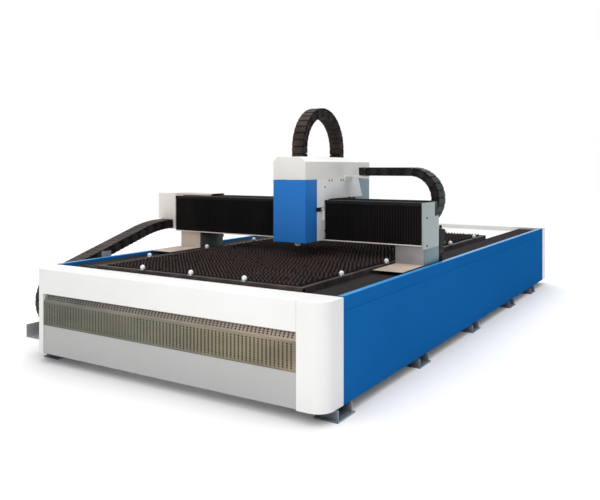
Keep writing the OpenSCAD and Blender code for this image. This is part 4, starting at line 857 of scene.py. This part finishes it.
g_chain_low, g_chain_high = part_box("gantry_chain")
SIDE = dict(h=92 * MM, w=170 * MM, slope=17, r=250 * MM, turn_r=1300 * MM, flat=95 * MM, drop=1010 * MM,
            low_l=2700 * MM)
side_run = [(SIDE["flat"], 0), bend(SIDE["turn_r"], SIDE["slope"]), (SIDE["drop"], 0),
            bend(SIDE["r"], 180 - SIDE["slope"]), (SIDE["low_l"], 0)]
side_end = walk(side_run, sum(length for length, turn in side_run))[0]
side_y = g_chain_high.y + side_end[0]
side_z = g_chain_low.z + SIDE["h"] / 2 + side_end[1]
chain("side_chain_links", "gantry_chain", side_run, lambda p, w: (w, side_y - p[0], side_z - p[1]),
      g_chain_low.x, SIDE["w"], SIDE["h"], -1, "brown_lid", ("bed", "gantry"), bend_weight(side_run, 3))

b_chain_low, b_chain_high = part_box("beam_chain")
BEAM = dict(h=80.04 * MM, r=250 * MM, start=40 * MM)
beam_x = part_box("carriage_housing")[1].x - BEAM["start"]
beam_z = b_chain_high.z - BEAM["h"] / 2
bend_x = b_chain_high.x - BEAM["r"] - BEAM["h"] / 2
beam_run = [(bend_x - beam_x, 0), bend(BEAM["r"], -180), (bend_x - b_chain_low.x, 0)]
chain("beam_chain_links", "beam_chain", beam_run, lambda p, w: (beam_x + p[0], w, beam_z + p[1]),
      b_chain_low.y, b_chain_high.y - b_chain_low.y, BEAM["h"], 1, "lid", ("gantry", "carriage"),
      bend_weight(beam_run, 1))

a_chain_low, a_chain_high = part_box("arch_chain")
ARCH = dict(h=92 * MM, r=355 * MM)
leg = a_chain_high.z - a_chain_low.z - ARCH["r"] - ARCH["h"] / 2
arch_y = a_chain_low.y + ARCH["h"] / 2
arch_run = [(leg, 0), bend(ARCH["r"], -180), (leg, 0)]
arch_total = sum(length for length, turn in arch_run)
chain("arch_chain_links", "arch_chain", arch_run, lambda p, w: (w, arch_y - p[1], a_chain_low.z + p[0]),
      a_chain_low.x, a_chain_high.x - a_chain_low.x, ARCH["h"], 1, "brown_lid", ("carriage", "head"),
      lambda s: 1 - s / arch_total)


# Gantry

def mark_aprons(obj):
    """Level sheets in a material of their own, and the left apron's face in a lighter tan copy of the apron
    sheet: painted light from the left.
    """
    mark_level(obj)
    mid = sum(corner.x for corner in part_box("aprons")) / 2
    # Painted light: the left apron's upright faces take the lighter tan copy.
    for face in obj.data.polygons:
        if face.center.x < mid and not face.material_index:
            face.material_index = 2


dress("saddles", M["saddle"], 3.0)
dress("right_end_plate", M["end_grey"], 1.5, 3)
dress("right_end_skirt", M["skirt"])
dress("left_end_cover", [M["beige"], M["beige_shaded_top"]], 1.5, 3, mark=mark_level)
dress("beam_top_cover", M["top_cloth"], 1.5)
dress("bellows_lip", M["lip"], 2.0)
dress("aprons", [M["apron"], M["floor_plate"], M["tan"]], mark=mark_aprons)
dress("gantry_motors", M["motor"], 4.0, 3)
dress("carriage_rails", M["steel"], 2.0)
dress("carriage_rack", M["steel"], 1.5)
for name in ("left_pinion", "right_pinion", "carriage_pinion"):
    dress(name, M["steel"], 0.8)


def end_screws():
    """Screws of the right end plate and the aprons."""
    soup = Soup()
    low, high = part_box("right_end_plate")
    front = low.y + 81 * MM
    for drop in (134 * MM, 376 * MM):
        screw(soup, high.x, front, high.z - drop, "+x", r=11 * MM, h=4 * MM)
    low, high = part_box("aprons")
    for inset in (16 * MM, 300 * MM):
        for x in (high.x - inset, low.x + inset):
            for rise in (28 * MM, 145 * MM):
                screw(soup, x, high.y, low.z + rise, "-y", r=9 * MM, h=3 * MM)
    soup.make("end_screws", M["bolt"], "gantry", SOFT_ANGLE)


MOTOR = dict(seat=120 * MM, flange=5 * MM, flange_half=8 * MM, ring=2 * MM, ring_drop=(50 * MM, 42 * MM),
             corner=12 * MM)
PLUG_BOX = dict(lead=28 * MM, half_d=30 * MM, lid=5 * MM, inset=4 * MM, corner=6 * MM,
                lid_rise=(62 * MM, 90 * MM), drop=10 * MM, gland_x=24 * MM)
NUT = [(19 * MM, -2 * MM), (19 * MM, 10 * MM), (15 * MM, 12 * MM), (15 * MM, 14 * MM)]
GLAND = [(13 * MM, 0), (13 * MM, 30 * MM), (9 * MM, 38 * MM), (4 * MM, 38 * MM)]


def motor_fittings():
    """Flange, end cap and terminal box with two glands on each gantry motor."""
    body, flange, steel = 0, 1, 2
    soup = Soup()
    low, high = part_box("gantry_motors")
    half = (high.y - low.y) / 2
    y = (low.y + high.y) / 2
    seat, top = low.z + MOTOR["seat"], high.z - PLUG_BOX["drop"]
    box_y = y + half + PLUG_BOX["lead"]
    ring_z0, ring_z1 = (high.z - drop for drop in MOTOR["ring_drop"])
    lid_z0, lid_z1 = (seat + rise for rise in PLUG_BOX["lid_rise"])

    def slab(x, y, w, d, corner, z0, z1, mat):
        soup.put(*prism(octagon(x, y, w, d, corner), z0, z1, "z"), mat)

    for x in (low.x + half, high.x - half):
        w = half + MOTOR["flange"]
        slab(x, y, w, w, MOTOR["corner"], seat - MOTOR["flange_half"], seat + MOTOR["flange_half"], flange)
        w = half + MOTOR["ring"]
        slab(x, y, w, w, MOTOR["corner"], ring_z0, ring_z1, body)
        w, d = half - PLUG_BOX["inset"], PLUG_BOX["half_d"]
        slab(x, box_y, w, d, PLUG_BOX["corner"], lid_z1, top, body)
        slab(x, box_y, half, d + PLUG_BOX["lid"], PLUG_BOX["corner"], lid_z0, lid_z1, flange)
        for dx in (-PLUG_BOX["gland_x"], PLUG_BOX["gland_x"]):
            soup.put(*lathe(NUT, (x + dx, box_y, top), 6), steel)
            soup.put(*lathe(GLAND, (x + dx, box_y, top), 16), body)
    soup.make("motor_fittings", [M["motor"], M["flange"], M["steel"]], "gantry", SOFT_ANGLE)


end_screws()
motor_fittings()


# Head

hood_low, hood_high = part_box("head_hood")
nozzle_low, nozzle_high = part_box("nozzle")


def mark_bracket_top_shade(obj):
    """Second material on top of the chain's bracket, which stands out past the hood: a darker grey, painted
    shade.
    """
    side = hood_high.x + 2 * MM
    for face in obj.data.polygons:
        face.material_index = int(face.center.x > side and face.normal.z > SLOPE)


def mark_tip(obj):
    """Ceramic collar above the copper tip."""
    tip = nozzle_low.z + 0.25 * (nozzle_high.z - nozzle_low.z)
    for face in obj.data.polygons:
        face.material_index = int(face.center.z > tip)


def nozzle_collar():
    """Ceramic sensor ring round the nozzle, above its tip."""
    mid = (nozzle_low + nozzle_high) / 2
    bore = 0.5 * (nozzle_high.x - nozzle_low.x)
    r, base = 29 * MM, nozzle_low.z + 7 * MM
    top = base + 26 * MM
    foot_cut, top_cut = 4 * MM, 3 * MM
    profile = [(bore, base), (r - foot_cut, base), (r, base + foot_cut),
               (r, top - top_cut), (r - top_cut, top), (bore, top)]
    soup = Soup()
    soup.put(*lathe(profile, (mid.x, mid.y, 0), 32))
    soup.make("nozzle_collar", M["ceramic"], "head", SOFT_ANGLE)


dress("carriage_plate", M["alu"], 1.5)
dress("carriage_housing", [M["housing"], M["bracket"]], 1.2, 3, mark=mark_bracket_top_shade)
dress("rear_shield", M["shield"], 1.2, 3)
dress("head_hood", [M["hood"], M["hood_lit_top"]], 1.8, 3, mark=mark_lit_slopes)
dress("carriage_motor", M["motor"], 3.0, 3)
dress("z_motor", M["motor"], 2.5, 3)
dress("z_rails", M["steel"])
dress("z_screw", M["steel"], 0.6)
dress("z_slide", M["alu"], 1.5)
dress("laser_head", M["motor"], 3.0, 3)
dress("nozzle", [M["copper"], M["ceramic"]], 0.5, mark=mark_tip)
nozzle_collar()
dress("head_cover", M["head_blue"], 1.2, 3)
dress("cover_latch", M["black"], 1.5, 3)


def housing_screws():
    """Screws on the side of the housing."""
    soup = Soup()
    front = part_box("carriage_housing")[0].y
    # Millimetres below the hood, and for each the places behind the housing's front
    rows = {11: (231, 289, 470, 512), 72: (155,), 180: (640,), 480: (155, 640)}
    for drop, places in rows.items():
        for y in places:
            screw(soup, hood_high.x, front + y * MM, hood_low.z - drop * MM, "+x", r=9 * MM, h=4 * MM)
    soup.make("housing_screws", M["bolt"], "carriage", SOFT_ANGLE)


def bellows_clip():
    """Clip on the housing's side that holds the right bellows' end."""
    low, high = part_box("right_bellows")
    half_w, half_d, half_h, corner = 4 * MM, 11 * MM, 41 * MM, 1.5 * MM
    x, y = hood_high.x + half_w, low.y - 14 * MM
    z = low.z + 0.62 * (high.z - low.z)
    soup = Soup()
    soup.put(*prism(octagon(x, y, half_w, half_d, corner), z - half_h, z + half_h, "z"))
    # The clip takes the lighter copy of the hood paint, made lighter as painted light.
    soup.make("bellows_clip", M["hood_lit_top"], "carriage", SOFT_ANGLE)


housing_screws()
bellows_clip()


# Floor, light and camera

FLOOR_HALF = 40


def pale_floor():
    mat = material("pale_floor", [(0.89, 0.89, 0.89), (0.91, 0.91, 0.91)], (0.6, 0.7), scale=0.3, bump=0.0,
                   specular=0.1)
    glow = mat.node_tree.nodes["Principled BSDF"].inputs
    glow["Emission Color"].default_value = WHITE
    glow["Emission Strength"].default_value = 0.06
    f = FLOOR_HALF
    mesh = bpy.data.meshes.new("floor")
    mesh.from_pydata([(-f, -f, 0), (f, -f, 0), (f, f, 0), (-f, f, 0)], [], [(0, 1, 2, 3)])
    mesh.update()
    show("floor", mesh, mat)


def studio_world(lobes, base):
    """World whose light changes with direction: a base colour plus soft lobes about given directions."""
    world = bpy.data.worlds.new("studio")
    scene.world = world
    world.use_nodes = True
    tree = world.node_tree
    where = tree.nodes.new("ShaderNodeTexCoord")
    colour = (*base, 1)
    for towards, span, tint in lobes:
        dot = tree.nodes.new("ShaderNodeVectorMath")
        dot.operation = "DOT_PRODUCT"
        tree.links.new(where.outputs["Generated"], dot.inputs[0])
        dot.inputs[1].default_value = Vector(towards).normalized()
        part = map_range(tree, dot.outputs["Value"], span)
        part.interpolation_type = "SMOOTHSTEP"
        colour = mix(tree, part.outputs["Result"], colour, (*tint, 1), "ADD")
    path = tree.nodes.new("ShaderNodeLightPath")
    seen = mix(tree, path.outputs["Is Camera Ray"], colour, WHITE)
    tree.links.new(seen, tree.nodes["Background"].inputs["Color"])
    tree.nodes["Background"].inputs["Strength"].default_value = 1.0


def area(name, place, target, size, power):
    """Square lamp that shines from a place to a target."""
    light = bpy.data.lights.new(name, "AREA")
    light.size = size
    light.energy = power
    obj = bpy.data.objects.new(name, light)
    obj.location = place
    obj.rotation_euler = (Vector(target) - Vector(place)).to_track_quat("-Z", "Y").to_euler()
    scene.collection.objects.link(obj)


pale_floor()
# Each lobe: the direction it is about, its span of cosines and its colour
from_behind = ((-0.53, 0.85, 0.0), (0.50, 0.88), (0.92, 0.92, 0.92))
from_above = ((0, 0, 1), (0.25, 0.95), (1.40, 1.40, 1.40))
from_front = ((0.25, -0.95, 0.2), (0.1, 0.9), (0.08, 0.07, 0.05))
from_right = ((1.0, 0.1, 0.1), (0.1, 0.9), (0.0, 0.02, 0.05))
studio_world([from_behind, from_above, from_front, from_right], base=(0.10, 0.10, 0.10))
area("key", (1.8, -7.2, 3.2), (0.5, -2.5, 0.6), 2.5, 75)
area("top", (0.5, 0.5, 9.0), (0, 0.5, 0.8), 7.0, 150)

# Camera at the photograph's place, level, with the horizon above the middle of the picture
PHOTO = dict(width=600, height=500, focal=673.90, horizon=167.52)
SENSOR = 36
camera = bpy.data.cameras.new("photo_camera")
camera.sensor_fit = "HORIZONTAL"
camera.sensor_width = SENSOR
camera.lens = PHOTO["focal"] * SENSOR / PHOTO["width"]
camera.shift_y = -(PHOTO["height"] / 2 - PHOTO["horizon"]) / PHOTO["width"]
camera.clip_end = 200
view = bpy.data.objects.new("photo_camera", camera)
view.location = (3.6613, -6.8898, 1.6509)
view.rotation_euler = (math.radians(90), 0, math.radians(31.923))
scene.collection.objects.link(view)
scene.camera = view
scene.view_settings.view_transform = "Standard"
